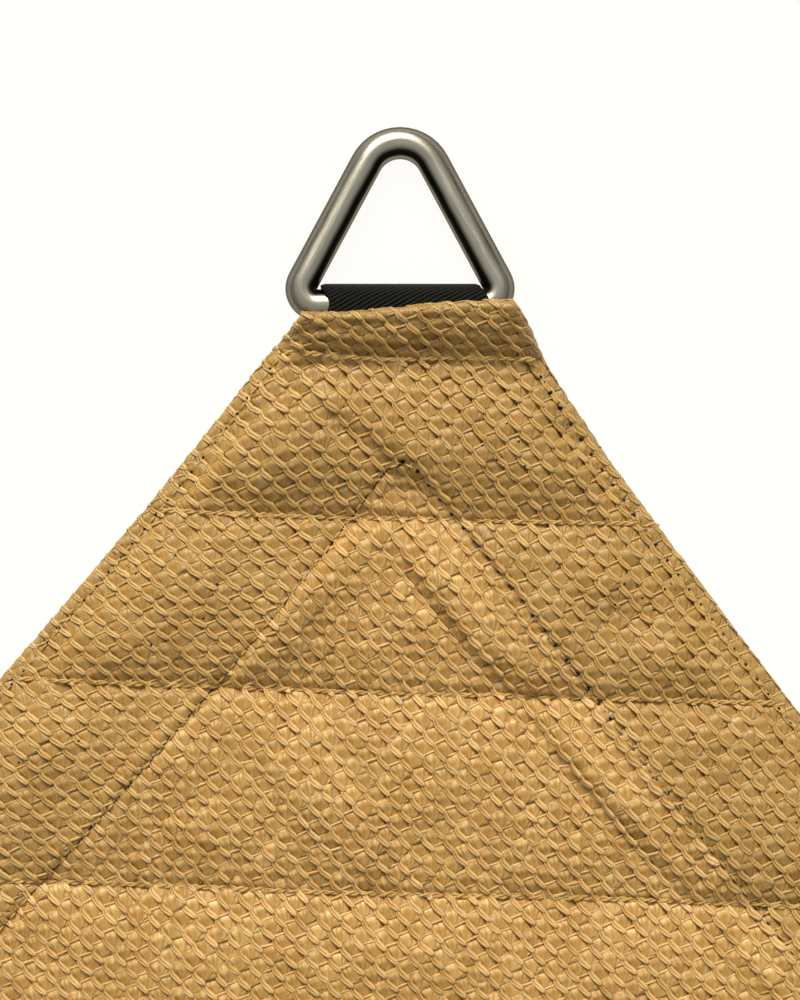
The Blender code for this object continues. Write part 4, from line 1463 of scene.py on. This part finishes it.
@dataclass
class SailCloth:
    """The sail's sheet of cloth, hem and quilted corners included, top and underside."""

    form: CornerForm = FORM
    relief: Relief = RELIEF
    corner_spacing: float = 3.3
    edge_spacing: float = 25.0
    bands: tuple[tuple[float, float, float], ...] = (
        (3.3, 0.0, 214.0), (7.0, 214.0, 250.0), (14.0, 250.0, 400.0), (30.0, 400.0, 1376.0),
    )
    edge_lines: tuple[float, ...] = (1.5, 3.2, 5.5)
    row_spacing: float = 3.0
    tip_points: int = 17
    grid_cell: float = 3.0
    closest: tuple[float, float] = (1.3, 3.0)
    knit_depth: float = 1.25
    knit_inset: float = 1.2
    ripple_height: float = 1.6

    def edge(self) -> Array:
        """The half edge with its points close together in the corner and wide apart beyond."""
        chosen, last = [], -1e9
        rows = self.form.half_edge
        for row in rows[:-1]:
            spacing = self.corner_spacing if row[1] < self.form.corner_depth else self.edge_spacing
            if row[2] - last >= spacing and rows[-1][2] - row[2] > spacing / 2:
                chosen.append(row)
                last = row[2]
        return np.array([*chosen, rows[-1]])

    def outline(self) -> Array:
        """The outline's points in order round the sail, as corner, across and down."""
        edge = self.edge()
        tip = np.linspace(1, -1, self.tip_points)[1:-1] * self.form.tip_half_width
        right, left = edge[::-1, :2], edge[:-1, :2] * (-1, 1)
        one = np.vstack((right, np.column_stack((tip, np.zeros(len(tip)))), left))
        one[:, 1] += self.form.tip_down(one[:, 0]) * self.form.slant_share(one[:, 1])
        return np.vstack([np.column_stack((np.full(len(one), k), one)) for k in range(CORNERS)])

    def inner(self) -> Array:
        """The inner points of one corner's share of the sail."""
        form = self.form
        edge_line = form.half_edge[:, :2]
        spots = []
        for width in self.edge_lines:
            line = form.inside_edge(width)
            line = line[(line[:, 1] > 2) & (line[:, 1] < form.corner_depth)][:: int(self.corner_spacing)]
            spots += [line, line * (-1, 1)]
        for row in form.rows_down:
            reach = float(np.interp(row, edge_line[:, 1], edge_line[:, 0])) - 8
            across = np.arange(-reach, reach, self.row_spacing)
            spots.append(np.column_stack((across, np.full(len(across), row))))
        for spacing, low, high in self.bands:
            for number, down in enumerate(np.arange(low, high, spacing * math.sqrt(3) / 2)):
                reach = float(np.interp(down, edge_line[:, 1], edge_line[:, 0])) - min(spacing, 8.0)
                reach = min(reach, form.tip_from_centre - down)
                half = int(reach / spacing) + 1
                across = (np.arange(-half, half + 1) + 0.5 * (number % 2)) * spacing
                across = across[np.abs(across) < reach]
                spots.append(np.column_stack((across, np.full(len(across), down))))
        return self.thinned(np.vstack(spots))

    def thinned(self, spots: Array) -> Array:
        """Drops each point that lies too close to one before it or to the outline."""
        edge = self.edge()
        border = np.vstack((edge[:, :2], edge[:, :2] * (-1, 1)))
        half_width, count = self.form.tip_half_width, self.tip_points
        tip = np.column_stack((np.linspace(-half_width, half_width, count), np.zeros(count)))
        cell = self.grid_cell
        taken: dict[tuple[int, int], list[tuple[float, float]]] = {}
        kept = []

        def crowded(a: float, d: float, gap: float) -> bool:
            """Tells if a kept point is nearer than gap."""
            i, j = int(a // cell), int(d // cell)
            around = [(m, n) for m in (i - 1, i, i + 1) for n in (j - 1, j, j + 1)]
            near = (spot for key in around for spot in taken.get(key, ()))
            return any((p - a) ** 2 + (q - d) ** 2 < gap * gap for p, q in near)

        for a, d in np.vstack((border, tip)):
            taken.setdefault((int(a // cell), int(d // cell)), []).append((a, d))
        for a, d in spots:
            if d < 1.2 or crowded(a, d, self.closest[int(d >= self.form.corner_depth)]):
                continue
            taken.setdefault((int(a // cell), int(d // cell)), []).append((a, d))
            kept.append((a, d))
        return np.array(kept)

    def ripples(self, x: Array, y: Array, down: Array, distance: Array) -> Array:
        """Slack, low waves of the open middle of the sail, none of them below the surface."""
        waves = (
            np.sin(x / 61 + 0.7 * np.sin(y / 173))
            + np.sin((x + y) / 97 + 1.1)
            + 0.8 * np.sin((x - 1.3 * y) / 139 + 2.0)
        )
        inside = smooth(240, 420, down) * smooth(45, 160, distance)
        return self.ripple_height * inside * np.maximum(waves + 0.9, 0.0) / 2

    def build(self, material: Material) -> Object:
        """Makes the sheet as one closed mesh with its UV map and attributes."""
        form = self.form
        outline, inner = self.outline(), self.inner()
        every = np.vstack([np.column_stack((np.full(len(inner), k), inner)) for k in range(CORNERS)])
        spots = np.vstack((outline, every))
        x, y = form.to_sail(spots[:, 0], spots[:, 1], spots[:, 2])
        flat = [Vector(pair) for pair in zip(x.tolist(), y.tolist())]
        ring = list(range(len(outline)))
        placed, _, faces, origins, _, _ = delaunay_2d_cdt(flat, [], [ring], 1, 1e-4)
        plan = np.array([tuple(p) for p in placed])
        corner, across, down = form.from_sail(plan[:, 0], plan[:, 1])
        over, under, distance = form.levels(across, down, self.relief)
        over = over + self.relief.fine(form, across, down, distance)
        lift = self.ripples(plan[:, 0], plan[:, 1], down, distance)
        knitted = (corner == SHOWN_CORNER) * (1 - smooth(195.0, 198.0, down))
        over = over + lift - self.knit_depth * knitted
        under = np.minimum(under + lift, over - 0.3)
        _, in_x, in_y = form.edge_place(across, down)
        inset = self.knit_inset * knitted * (1 - smooth(0.0, 4.0, distance))
        moved_x, moved_y = form.to_sail(corner, across + in_x * inset, down + in_y * inset)
        top = np.column_stack((moved_x, moved_y, over))
        bottom = np.column_stack((moved_x, moved_y, np.maximum(under, 0.0)))
        triangles = [tuple(face) for face in faces]
        item = closed_sheet("sail_knit_cloth", plan, top, bottom, triangles, material)
        hem = 1 - smooth(-1.0, 1.5, distance - form.hem_at(down))
        set_attribute(item.data, "hem", np.tile(hem, 2))
        set_attribute(item.data, "hidden", np.concatenate((knitted, np.zeros(len(plan)))))
        return item


@dataclass
class Patches:
    """The flat patches of the same knit under the corners."""

    form: CornerForm = FORM
    rows: int = 34
    columns: int = 41

    def build(self, corner: int, material: Material) -> Object:
        """Makes one patch as a thin closed sheet.

        Args:
            corner: which corner it lies under.
            material: the knit's finish.

        Returns:
            The patch.
        """
        form = self.form
        line = form.inside_edge(form.patch_inset)
        downs = np.linspace(form.patch_top, form.patch_bottom, self.rows)
        columns = np.linspace(-1, 1, self.columns)
        reach = np.interp(downs, line[:, 1], line[:, 0])
        across = (reach[:, None] * columns[None, :]).ravel()
        down = np.repeat(downs, len(columns))
        x, y = form.to_sail(corner, across, down)
        top = np.column_stack((x, y, np.full(len(x), form.patch_thick)))
        bottom = np.column_stack((x, y, np.zeros(len(x))))
        wide = len(columns)
        starts = [i * wide + j for i in range(len(downs) - 1) for j in range(wide - 1)]
        faces = [(a, a + wide, a + wide + 1, a + 1) for a in starts]
        return closed_sheet(f"patch_knit_{corner + 1}", top[:, :2], top, bottom, faces, material)


# ---------------------------------------------------------------- stitching


class StitchKind(Enum):
    """How a line is sewn: the rows with two twisted threads, hems with a single one."""

    DOUBLE = "double"
    SINGLE = "single"
    PLAIN = "plain"


@dataclass(frozen=True)
class StitchSizes:
    """The sizes of one stitch, in millimetres."""

    pitch: float = 4.65
    radius: float = 0.35
    arch: float = 0.5
    sink: float = 0.5
    sway: float = 0.35
    crossing: float = 0.18
    hole_share: float = 0.0
    steps: int = 7
    sides: int = 5
    seed: int = 11


STITCHES = {
    StitchKind.DOUBLE: StitchSizes(),
    StitchKind.SINGLE: StitchSizes(radius=0.27, arch=0.5, sink=0.8, sway=0.0, hole_share=0.17, steps=6),
    StitchKind.PLAIN: StitchSizes(radius=0.4, arch=0.5, sink=0.35, sway=0.0, steps=2, sides=3),
}


class StitchTree(GeometryTree):
    """The geometry tree that lays stitches end to end along curves on the cloth."""

    lowest = 0.1
    tint = 0.1
    no_hole = 9.0
    draws = (0.94, 0.75, 0.75), (1.0, 1.3, 1.2)

    def __init__(self, kind: StitchKind, thread: Material) -> None:
        """Builds the tree.

        Args:
            kind: which kind of stitch it lays.
            thread: the thread's finish.
        """
        sizes, inputs = STITCHES[kind], ("pitch", "radius", "arch", "sink", "sway", "seed")
        super().__init__(f"stitches_{kind.value}", sizes, inputs, thread=thread)
        node, given = self.node, self.given
        strands = node("JoinGeometry")
        for turn in (1.0, -1.0) if kind is StitchKind.DOUBLE else (1.0,):
            self.tree.links.new(self.strand(sizes, turn), strands.node.inputs[0])
        places = node("CurveToPoints", given["Geometry"], mode="EVALUATED").node.outputs
        way = "AlignRotationToVector"
        along = node(way, Vector=places["Tangent"], axis="X")
        upright = node(way, Rotation=along, Vector=(0.0, 0.0, 1.0), axis="Z", pivot_axis="X")
        kind_of_draw = "RandomValue"
        wander = node(kind_of_draw, *self.draws, Seed=given["seed"], data_type="FLOAT_VECTOR")
        tone = node(kind_of_draw, Min_001=0.0, Max_001=1.0, Seed=given["seed"], out=1, data_type="FLOAT")
        inputs = {"Instance": strands, "Rotation": upright, "Scale": wander}
        copies = node("InstanceOnPoints", places["Points"], **inputs)
        toned = node("StoreNamedAttribute", copies, Name="tone", Value=tone, domain="INSTANCE")
        self.dress((toned, "thread"))

    def strand(self, sizes: StitchSizes, turn: float) -> NodeSocket:
        """One thread of a stitch: it comes up, arches over and goes down, swaying to a side."""
        node, given = self.node, self.given
        line = node("CurvePrimitiveLine", Start=(0, 0, 0), End=(1, 0, 0))
        fine = node("ResampleCurve", line, Count=sizes.steps + 1)
        share = node("SplineParameter", out="Factor")
        half_turn = node("MULTIPLY", share, math.pi)
        full_turn = node("MULTIPLY_ADD", half_turn, 2.0, 0.5)
        across = node("MULTIPLY", node("MULTIPLY", node("SINE", full_turn), given["sway"]), turn)
        whole = node("ADD", given["arch"], given["sink"])
        rise = node("MULTIPLY_ADD", node("SINE", half_turn), whole, node("MULTIPLY", given["sink"], -1.0))
        crossing = sizes.crossing * turn if sizes.sway else 0.0
        rise = node("MULTIPLY_ADD", node("COSINE", full_turn), crossing, rise)
        past_hole = node("MULTIPLY_ADD", share, 1.04 - 2 * sizes.hole_share, sizes.hole_share)
        spot = node("CombineXYZ", node("MULTIPLY", past_hole, given["pitch"]), across, rise)
        shaped = node("SetPosition", fine, Position=spot)
        return self.tube(shaped, sizes.sides, "radius", Fill_Caps=True)

    def sew(self, name: str, lines: list[Array]) -> Object:
        """Sews along lines whose points are a stitch apart.

        Args:
            name: the piece's name.
            lines: each line's points, in millimetres.

        Returns:
            The piece with all the stitches.
        """
        curve = bpy.data.curves.new(f"{name}_lines", "CURVE")
        curve.dimensions = "3D"
        for line in lines:
            spline = curve.splines.new("POLY")
            spline.points.add(len(line) - 1)
            spline.points.foreach_set("co", np.column_stack((line, np.ones(len(line)))).ravel())
        mesh = self.run(name, curve)
        spots = points_of(mesh)
        spots[:, 2] = np.maximum(spots[:, 2], self.lowest)
        move_points(mesh, spots)
        set_attribute(mesh, "band", np.full(len(spots), self.tint))
        set_attribute(mesh, "from_hole", np.full(spots.shape, self.no_hole))
        return make_object(name, mesh, None)


GAPS = (
    (20.5, 34.5), (24.0, 38.0), (29.5, 33.5), (31.0, 39.5), (26.5, 29.0),
    (56.0, 69.0), (60.5, 72.5), (63.5, 75.5), (53.5, 74.0), (66.0, 70.5),
    (-73.5, 60.0), (-66.0, 66.5), (-56.0, 62.0), (-49.0, 77.5), (-62.0, 84.0), (-45.5, 69.0),
    (-80.0, 108.0), (-86.5, 119.0), (-95.0, 113.5), (94.0, 121.0), (99.0, 128.5),
)


@dataclass
class Stitching:
    """Where the sail is sewn: rows across the corners, and along its hems and edges."""

    surface: CornerSurface
    form: CornerForm = FORM
    relief: Relief = RELIEF
    pitch: float = 4.65
    edge_line: float = 3.2
    row_inset: float = 4.0
    tip_row_insets: tuple[float, float] = (3.6, 6.6)
    tip_row_sag: float = 1.2
    right_hole: float = 0.85
    left_hole: float = 0.42
    left_step: float = 0.9
    edge_holes: tuple[float, float] = (0.75, 0.6)
    gap_size: float = 0.5
    side_slope: float = 40.0
    holes_end: float = 204.0
    seams_end: float = 206.0
    row_lift: float = 0.55
    seam_lift: float = 0.35
    far_lift: float = 0.2

    def spaced(self, line: Array) -> Array:
        """Points a stitch apart along a line of (across, down)."""
        steps = np.hypot(*np.diff(line, axis=0).T)
        along = np.concatenate(((0.0,), np.cumsum(steps)))
        count = max(2, round(along[-1] / self.pitch) + 1)
        stops = np.linspace(0, along[-1], count)
        return np.column_stack((np.interp(stops, along, line[:, 0]), np.interp(stops, along, line[:, 1])))

    def rows(self) -> list[Array]:
        """The rows across a corner, as lines of (across, down)."""
        edge = self.form.half_edge
        made = []
        for number, row in enumerate(self.form.rows_down):
            reach = float(np.interp(row, edge[:, 1], edge[:, 0]))
            left, right = self.tip_row_insets if number == 0 else (self.row_inset, self.row_inset)
            across = np.arange(left - reach, reach - right, 1.0)
            sag = self.tip_row_sag * bell(across, -6, 17) if number == 0 else 0.5 * np.sin(across / 23 + row)
            made.append(self.spaced(np.column_stack((across, row + sag))))
        return made

    def inside_edge(self, width: Array | float, from_down: float, to_down: float) -> Array:
        """The right side edge moved into the cloth, between two depths."""
        line = self.form.inside_edge(width)
        chosen = (line[:, 1] >= from_down) & (line[:, 1] <= to_down) & (line[:, 0] > 0)
        return line[chosen]

    def v_lines(self, to_down: float) -> list[Array]:
        """The hem's inner seam on both sides of a corner, from where they meet."""
        lines = []
        lower = self.form.hem_width * math.sin(math.radians(self.side_slope))
        for side in (1, -1):
            inner = self.form.half_edge[:, 1] + lower
            line = self.inside_edge(self.form.hem_at(inner, side), self.form.v_tip_down, to_down)
            line = np.vstack(((0.0, self.form.v_tip_down), line))
            lines.append(self.spaced(line * (side, 1)))
        return lines

    def edge_seams(self, to_down: float) -> list[Array]:
        """The seam just inside the side edges of a corner."""
        line = self.inside_edge(self.edge_line, 11.7, to_down)
        return [self.spaced(line), self.spaced(line * (-1, 1))]

    def pits(self) -> Array:
        """The needle holes of the V lines and edge seams and a few gaps: across, down, size."""
        right_v, left_v = self.v_lines(self.holes_end)
        count = round(len(left_v) * self.pitch / self.left_step)
        stops = np.linspace(0, len(left_v) - 1, count)
        left_v = np.column_stack([np.interp(stops, np.arange(len(left_v)), part) for part in left_v.T])
        found = [(right_v, self.right_hole), (left_v, self.left_hole)]
        found += zip(self.edge_seams(self.holes_end), self.edge_holes)
        gaps = np.array(GAPS)
        found.append((np.column_stack(self.form.to_corner(gaps[:, 0], gaps[:, 1])), self.gap_size))
        return np.vstack([np.column_stack((line, np.full(len(line), size))) for line, size in found])

    def on_cloth(self, corner: int, line: Array, lift: float) -> Array:
        """A line of (across, down) laid on the cloth of a corner."""
        if corner == SHOWN_CORNER and line[:, 1].max() < 215:
            return self.surface.drape(line[:, 0], line[:, 1], np.full(len(line), lift))
        over, _, distance = self.form.levels(line[:, 0], line[:, 1], self.relief)
        over = over + self.relief.fine(self.form, line[:, 0], line[:, 1], distance)
        x, y = self.form.to_sail(corner, line[:, 0], line[:, 1])
        return np.column_stack((x, y, over + lift - 0.25))

    def build(self, thread: Material) -> list[Object]:
        """Sews the whole sail."""
        double, single, plain = (StitchTree(kind, thread) for kind in StitchKind)
        rows = self.rows()
        seams = self.v_lines(self.seams_end) + self.edge_seams(self.seams_end)
        shown_rows = [self.on_cloth(SHOWN_CORNER, line, self.row_lift) for line in rows]
        shown_seams = [self.on_cloth(SHOWN_CORNER, line, self.seam_lift) for line in seams]
        others, sides = [], []
        for corner in range(CORNERS):
            if corner != SHOWN_CORNER:
                others += [self.on_cloth(corner, line, self.far_lift) for line in rows + seams]
            sides += [self.on_cloth(corner, line, self.far_lift) for line in self.far_seams()]
        return [
            double.sew("row_stitches_1", shown_rows),
            single.sew("hem_stitches_1", shown_seams),
            plain.sew("corner_stitches", others),
            plain.sew("side_stitches", sides),
        ]

    def far_seams(self) -> list[Array]:
        """The hem's two seams from a corner to the middles of its sides."""
        half = self.form.half_edge[-1, 1]
        seams = []
        for width in (self.edge_line, self.form.hem_width):
            line = self.inside_edge(width, 210.0, half + 60)
            line = line[line.sum(axis=1) < self.form.tip_from_centre]
            seams += [self.spaced(line), self.spaced(line * (-1, 1))]
        return seams


# ---------------------------------------------------------------- ring and webbing


def tube_faces(turns: int, sides: int) -> Array:
    """The faces of an endless tube of turns, each of sides points, in their order along it."""
    first = np.arange(turns * sides).reshape(turns, sides)
    second = np.roll(first, -1, axis=1)
    both = (first, np.roll(first, -1, axis=0), np.roll(second, -1, axis=0), second)
    return np.stack(both, axis=-1).reshape(-1, 4)


@dataclass
class WireRing:
    """A triangle ring bent from round wire, its bar in the loop and its top on the surface."""

    form: CornerForm = FORM
    sides: int = 32
    bend_steps: int = 14
    leg_steps: int = 8

    def line(self) -> list[tuple[float, float, float]]:
        """The middle of the wire as x, distance out from the bar, and the outer side's heading."""
        ring = self.form.ring
        leg = math.radians(ring.leg_angle)
        foot_x = ring.half_width - ring.wire_radius - ring.foot_bend
        top_y = ring.height_above_bar - ring.top_bend
        bends = (
            (foot_x, ring.foot_bend, ring.foot_bend, -math.pi / 2, leg),
            (0.0, top_y, ring.top_bend, leg, math.pi - leg),
            (-foot_x, ring.foot_bend, ring.foot_bend, math.pi - leg, 1.5 * math.pi),
        )
        line = []
        for x, y, radius, start, end in bends:
            for i in range(self.bend_steps + 1):
                angle = start + (end - start) * i / self.bend_steps
                line.append((x + radius * math.cos(angle), y + radius * math.sin(angle), angle))
        full = []
        for (ax, ay, aa), (bx, by, ba) in zip(line, line[1:] + line[:1]):
            straight = math.hypot(bx - ax, by - ay) > 3.0
            steps = self.leg_steps if straight else 1
            full += [(ax + (bx - ax) * k / steps, ay + (by - ay) * k / steps, aa) for k in range(steps)]
        return full

    def build(self, corner: int, material: Material) -> Object:
        """Makes the ring of one corner.

        Args:
            corner: which corner.
            material: the steel's finish.

        Returns:
            The ring, with a UV map of turns round the wire and millimetres along it.
        """
        form, ring = self.form, self.form.ring
        tilt = math.asin((form.bar_height - ring.wire_radius) / ring.height_above_bar)
        line = np.array(self.line())
        along = np.cumsum(np.hypot(*np.diff(line[:, :2], axis=0, prepend=line[-1:, :2]).T))
        x, outward, angle = line.T[:, :, None]
        side = np.arange(self.sides)
        turn = 2 * math.pi * side / self.sides
        flat_x = x + ring.wire_radius * np.cos(turn) * np.cos(angle)
        flat_out = outward + ring.wire_radius * np.cos(turn) * np.sin(angle)
        rise = ring.wire_radius * np.sin(turn)
        out = flat_out * math.cos(tilt) + rise * math.sin(tilt)
        height = form.bar_height - flat_out * math.sin(tilt) + rise * math.cos(tilt)
        place = form.to_sail(corner, *form.to_corner(flat_x, -ring.bar_outward - out))
        points = np.stack((*place, height), axis=-1).reshape(-1, 3)
        faces = tube_faces(len(line), self.sides).tolist()
        item = mesh_from(f"wire_ring_{corner + 1}", points, faces, material)
        uvs = np.column_stack((np.tile(side / self.sides, len(line)), np.repeat(along, self.sides)))
        set_uv(item.data, "wire", uvs)
        self.close_seam(item.data)
        return item

    def close_seam(self, mesh: Mesh) -> None:
        """Lets the UV map run on past 1 round the wire, and past its end along it."""
        layer = mesh.uv_layers["wire"].data
        length = max(point.uv[1] for point in layer)
        for face in mesh.polygons:
            spots = [layer[i].uv for i in face.loop_indices]
            wide = max(s[0] for s in spots) > 0.9 and min(s[0] for s in spots) < 0.1
            long = max(s[1] for s in spots) > 0.8 * length and min(s[1] for s in spots) < 0.2 * length
            for spot in spots:
                if wide and spot[0] < 0.1:
                    spot[0] += 1.0
                if long and spot[1] < 0.2 * length:
                    spot[1] += length


@dataclass
class WebbingLoop:
    """The webbing loop that ties a ring's bar into its corner."""

    form: CornerForm = FORM
    half_width: float = 19.8
    left_at_tip: float = -13.7
    right_at_tip: float = 24.5
    right_on_bar: float = 22.3
    left_on_bar: float = -17.5
    round_steps: int = 28
    leg_steps: int = 10
    columns: int = 40
    edge_share: float = 0.12
    edge_round: float = 1.2

    def path(self) -> Array:
        """The webbing's middle as y, height, and its left and right edges."""
        form = self.form
        thick, ring = form.webbing_thick, form.ring
        centre, middle = -ring.bar_outward, form.loop_radius - thick / 2
        low, high = form.lower_leg + thick / 2, form.upper_leg + thick / 2
        run, drop = form.leg_lands - centre, form.bar_height - high
        slope = math.atan2(drop, run) + math.asin(middle / math.hypot(run, drop))
        rows = []
        for k in range(self.leg_steps):
            y = form.leg_end + (centre - form.leg_end) * k / self.leg_steps
            rows.append((y, low, -self.half_width, self.half_width))
        for k in range(self.round_steps + 1):
            angle = -math.pi / 2 - (math.pi + slope) * k / self.round_steps
            over = max(math.sin(angle), 0.0) ** 3 if angle < -math.pi else 0.0
            left = -self.half_width + (self.left_on_bar + self.half_width) * over
            right = self.half_width + (self.right_on_bar - self.half_width) * over
            height = form.bar_height + middle * math.sin(angle)
            rows.append((centre + middle * math.cos(angle), height, left, right))
        start, landed = rows[-1], (form.leg_lands, high, self.left_at_tip, self.right_at_tip)
        for k in range(1, self.leg_steps + 1):
            t = k / self.leg_steps
            rows.append(tuple(a + (b - a) * t for a, b in zip(start, landed)))
        rows.append((form.leg_end, *landed[1:]))
        return np.array(rows)

    def build(self, corner: int, material: Material) -> Object:
        """Makes the loop of one corner as a thin closed strap with round edges."""
        form, path = self.form, self.path()
        steps = np.diff(path[:, :2], axis=0)
        runs = steps / np.hypot(*steps.T)[:, None]
        along = np.vstack((runs[:1], runs)) + np.vstack((runs, runs[-1:]))
        along /= np.hypot(*along.T)[:, None]
        length = np.concatenate(((0.0,), np.cumsum(np.hypot(*steps.T))))
        shares = np.linspace(0, 1, self.columns + 1)
        share, side = np.concatenate((shares, shares[::-1])), np.repeat((1.0, -1.0), len(shares))
        y, z, left, right = path.T[:, :, None]
        from_edge = np.minimum(share, 1 - share) * (right - left)
        thin = np.sqrt(np.minimum(1.0, self.edge_share + from_edge / self.edge_round))
        reach = form.webbing_thick / 2 * thin * side
        x = left + (right - left) * share
        place = form.to_sail(corner, *form.to_corner(x, y - along[:, 1:] * reach))
        points = np.stack((*place, z + along[:, :1] * reach), axis=-1).reshape(-1, 3)
        wide, last = len(share), (len(path) - 1) * len(share)
        faces = np.roll(tube_faces(len(path), wide)[:last, ::-1], 1, axis=1).tolist()
        faces += [list(range(wide))[::-1], list(range(last, last + wide))]
        item = mesh_from(f"webbing_strap_{corner + 1}", points, faces, material)
        set_uv(item.data, "strap", np.column_stack((x.ravel(), np.repeat(length, wide))))
        return item


# ---------------------------------------------------------------- studio


@dataclass
class Studio:
    """The pale floor, the soft light from beyond the ring, and the camera straight above."""

    form: CornerForm = FORM
    frame_height: float = 250.0
    frame_centre_y: float = 48.0
    cloth_level: float = 5.0
    lens: float = 85.0
    sensor: float = 36.0
    sun_elevation: float = 40.0
    sun_strength: float = 3.8
    sun_angle: float = 30.0
    floor_size: float = 12000.0

    def upright(self) -> tuple[Vector, Vector]:
        """The picture's up and right, as directions over the sail."""
        tip = Vector(self.form.to_sail(SHOWN_CORNER, *self.form.to_corner(0.0, 0.0)))
        below = Vector(self.form.to_sail(SHOWN_CORNER, *self.form.to_corner(0.0, 10.0)))
        up = (tip - below).normalized()
        return Vector((up.x, up.y, 0.0)), Vector((up.y, -up.x, 0.0))

    def build(self) -> None:
        """Sets up the floor, lights, world and camera."""
        up, right = self.upright()
        self.camera(up, right)
        self.light(up, right)
        self.floor()
        self.world()
        view = bpy.context.scene.view_settings
        view.view_transform = "Standard"
        view.look = "None"

    def camera(self, up: Vector, right: Vector) -> None:
        """Hangs the camera over the shown corner, with the ring upright in its picture."""
        data = bpy.data.cameras.new("camera")
        data.lens = self.lens
        data.sensor_width = self.sensor
        centre = self.form.to_sail(SHOWN_CORNER, *self.form.to_corner(0.0, self.frame_centre_y))
        distance = self.frame_height * self.lens / self.sensor
        item = bpy.data.objects.new("camera", data)
        turn = Matrix((right, up, Vector((0, 0, 1)))).transposed()
        place = Vector((*centre, self.cloth_level + distance)) * MM
        item.matrix_world = Matrix.Translation(place) @ turn.to_4x4()
        bpy.context.scene.collection.objects.link(item)
        bpy.context.scene.camera = item

    def light(self, up: Vector, right: Vector) -> None:
        """A wide, soft sun that comes from the top of the picture and a little from its left."""
        data = bpy.data.lights.new("key_light", "SUN")
        data.energy = self.sun_strength
        data.angle = math.radians(self.sun_angle)
        data.color = linear("fff6e8")[:3]
        item = bpy.data.objects.new("key_light", data)
        rise = math.radians(self.sun_elevation)
        level = (up - right * 0.18).normalized()
        towards = level * math.cos(rise) + Vector((0, 0, math.sin(rise)))
        item.rotation_mode = "QUATERNION"
        item.rotation_quaternion = towards.to_track_quat("Z", "Y")
        bpy.context.scene.collection.objects.link(item)

    def floor(self) -> None:
        """A plain white table top, lit so that it stays white."""
        half = self.floor_size / 2
        corners = np.array(((-half, -half, 0), (half, -half, 0), (half, half, 0), (-half, half, 0)))
        material, shader = new_material("white_table_top")
        set_inputs(
            shader,
            Base_Color=linear("3c3c3a"),
            Roughness=0.9,
            Specular_IOR_Level=0.0,
            Emission_Color=linear("fffefa"),
            Emission_Strength=0.965,
        )
        item = mesh_from("table_top", corners - (0, 0, 0.2), [(0, 1, 2, 3)], material)

    def world(self) -> None:
        """A soft sky: bright overhead and dim towards the horizon."""
        world = bpy.data.worlds.new("studio")
        bpy.context.scene.world = world
        world.use_nodes = True
        node = partial(add_node, world.node_tree)
        height = node("SeparateXYZ", node("TexCoord", out="Generated"), out=2)
        ramp = node("ValToRGB", height, out="Color")
        shades = ((0.0, 0.03), (0.22, 0.06), (0.5, 0.4), (0.8, 0.75), (1.0, 0.85))
        stops = [(spot, (shade, shade * 0.985, shade * 0.96, 1.0)) for spot, shade in shades]
        set_stops(ramp.node.color_ramp, stops)
        set_inputs(world.node_tree.nodes["Background"], ramp, Strength=0.68)


# ---------------------------------------------------------------- the whole sail


@dataclass
class ShadeSail:
    """The whole sail, put together on its frame."""

    sail_area: float = 3.6733
    patch_area: float = 0.03644
    patch_flat: tuple[float, float] = (0.350, 0.197)

    def build(self) -> None:
        """Makes every piece, and ties it to the frame."""
        cloth_finish = KnitCloth().make()
        yarn, film, thread = YARN.make(), FILM.make(), THREAD.make()
        surface = CornerSurface(FORM, RELIEF)
        stitching = Stitching(surface)
        cloth = SailCloth().build(cloth_finish)
        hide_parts("sail_cloth")
        knit = CornerKnit(surface, stitching.pits()).build(yarn, film)
        seams = stitching.build(thread)
        for item in (cloth, *knit, *seams):
            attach(item, "root")
        patches = self.dress_corners(cloth_finish)

    def dress_corners(self, cloth_finish: Material) -> list[Object]:
        """Makes the patch, ring and loop of each corner, and returns the patches."""
        steel, webbing = BrushedSteel().make(), Webbing().make()
        patches = []
        for corner in range(CORNERS):
            patch = Patches().build(corner, cloth_finish)
            ring = WireRing().build(corner, steel)
            strap = WebbingLoop().build(corner, webbing)
            rows = (
                (patch, f"patch_{corner + 1}", "sand_knit"),
                (ring, f"ring_{corner + 1}", "brushed_stainless"),
                (strap, f"webbing_loop_{corner + 1}", "black_webbing"),
            )
            for item, node, slot in rows:
                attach(item, "root")
                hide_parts(node)
            patches.append(patch)
        return patches


def main() -> None:
    """Builds the sail and its studio."""
    logging.basicConfig(level=logging.INFO, format="%(name)s: %(message)s")
    Studio().build()
    ShadeSail().build()


if __name__ == "__main__":
    main()
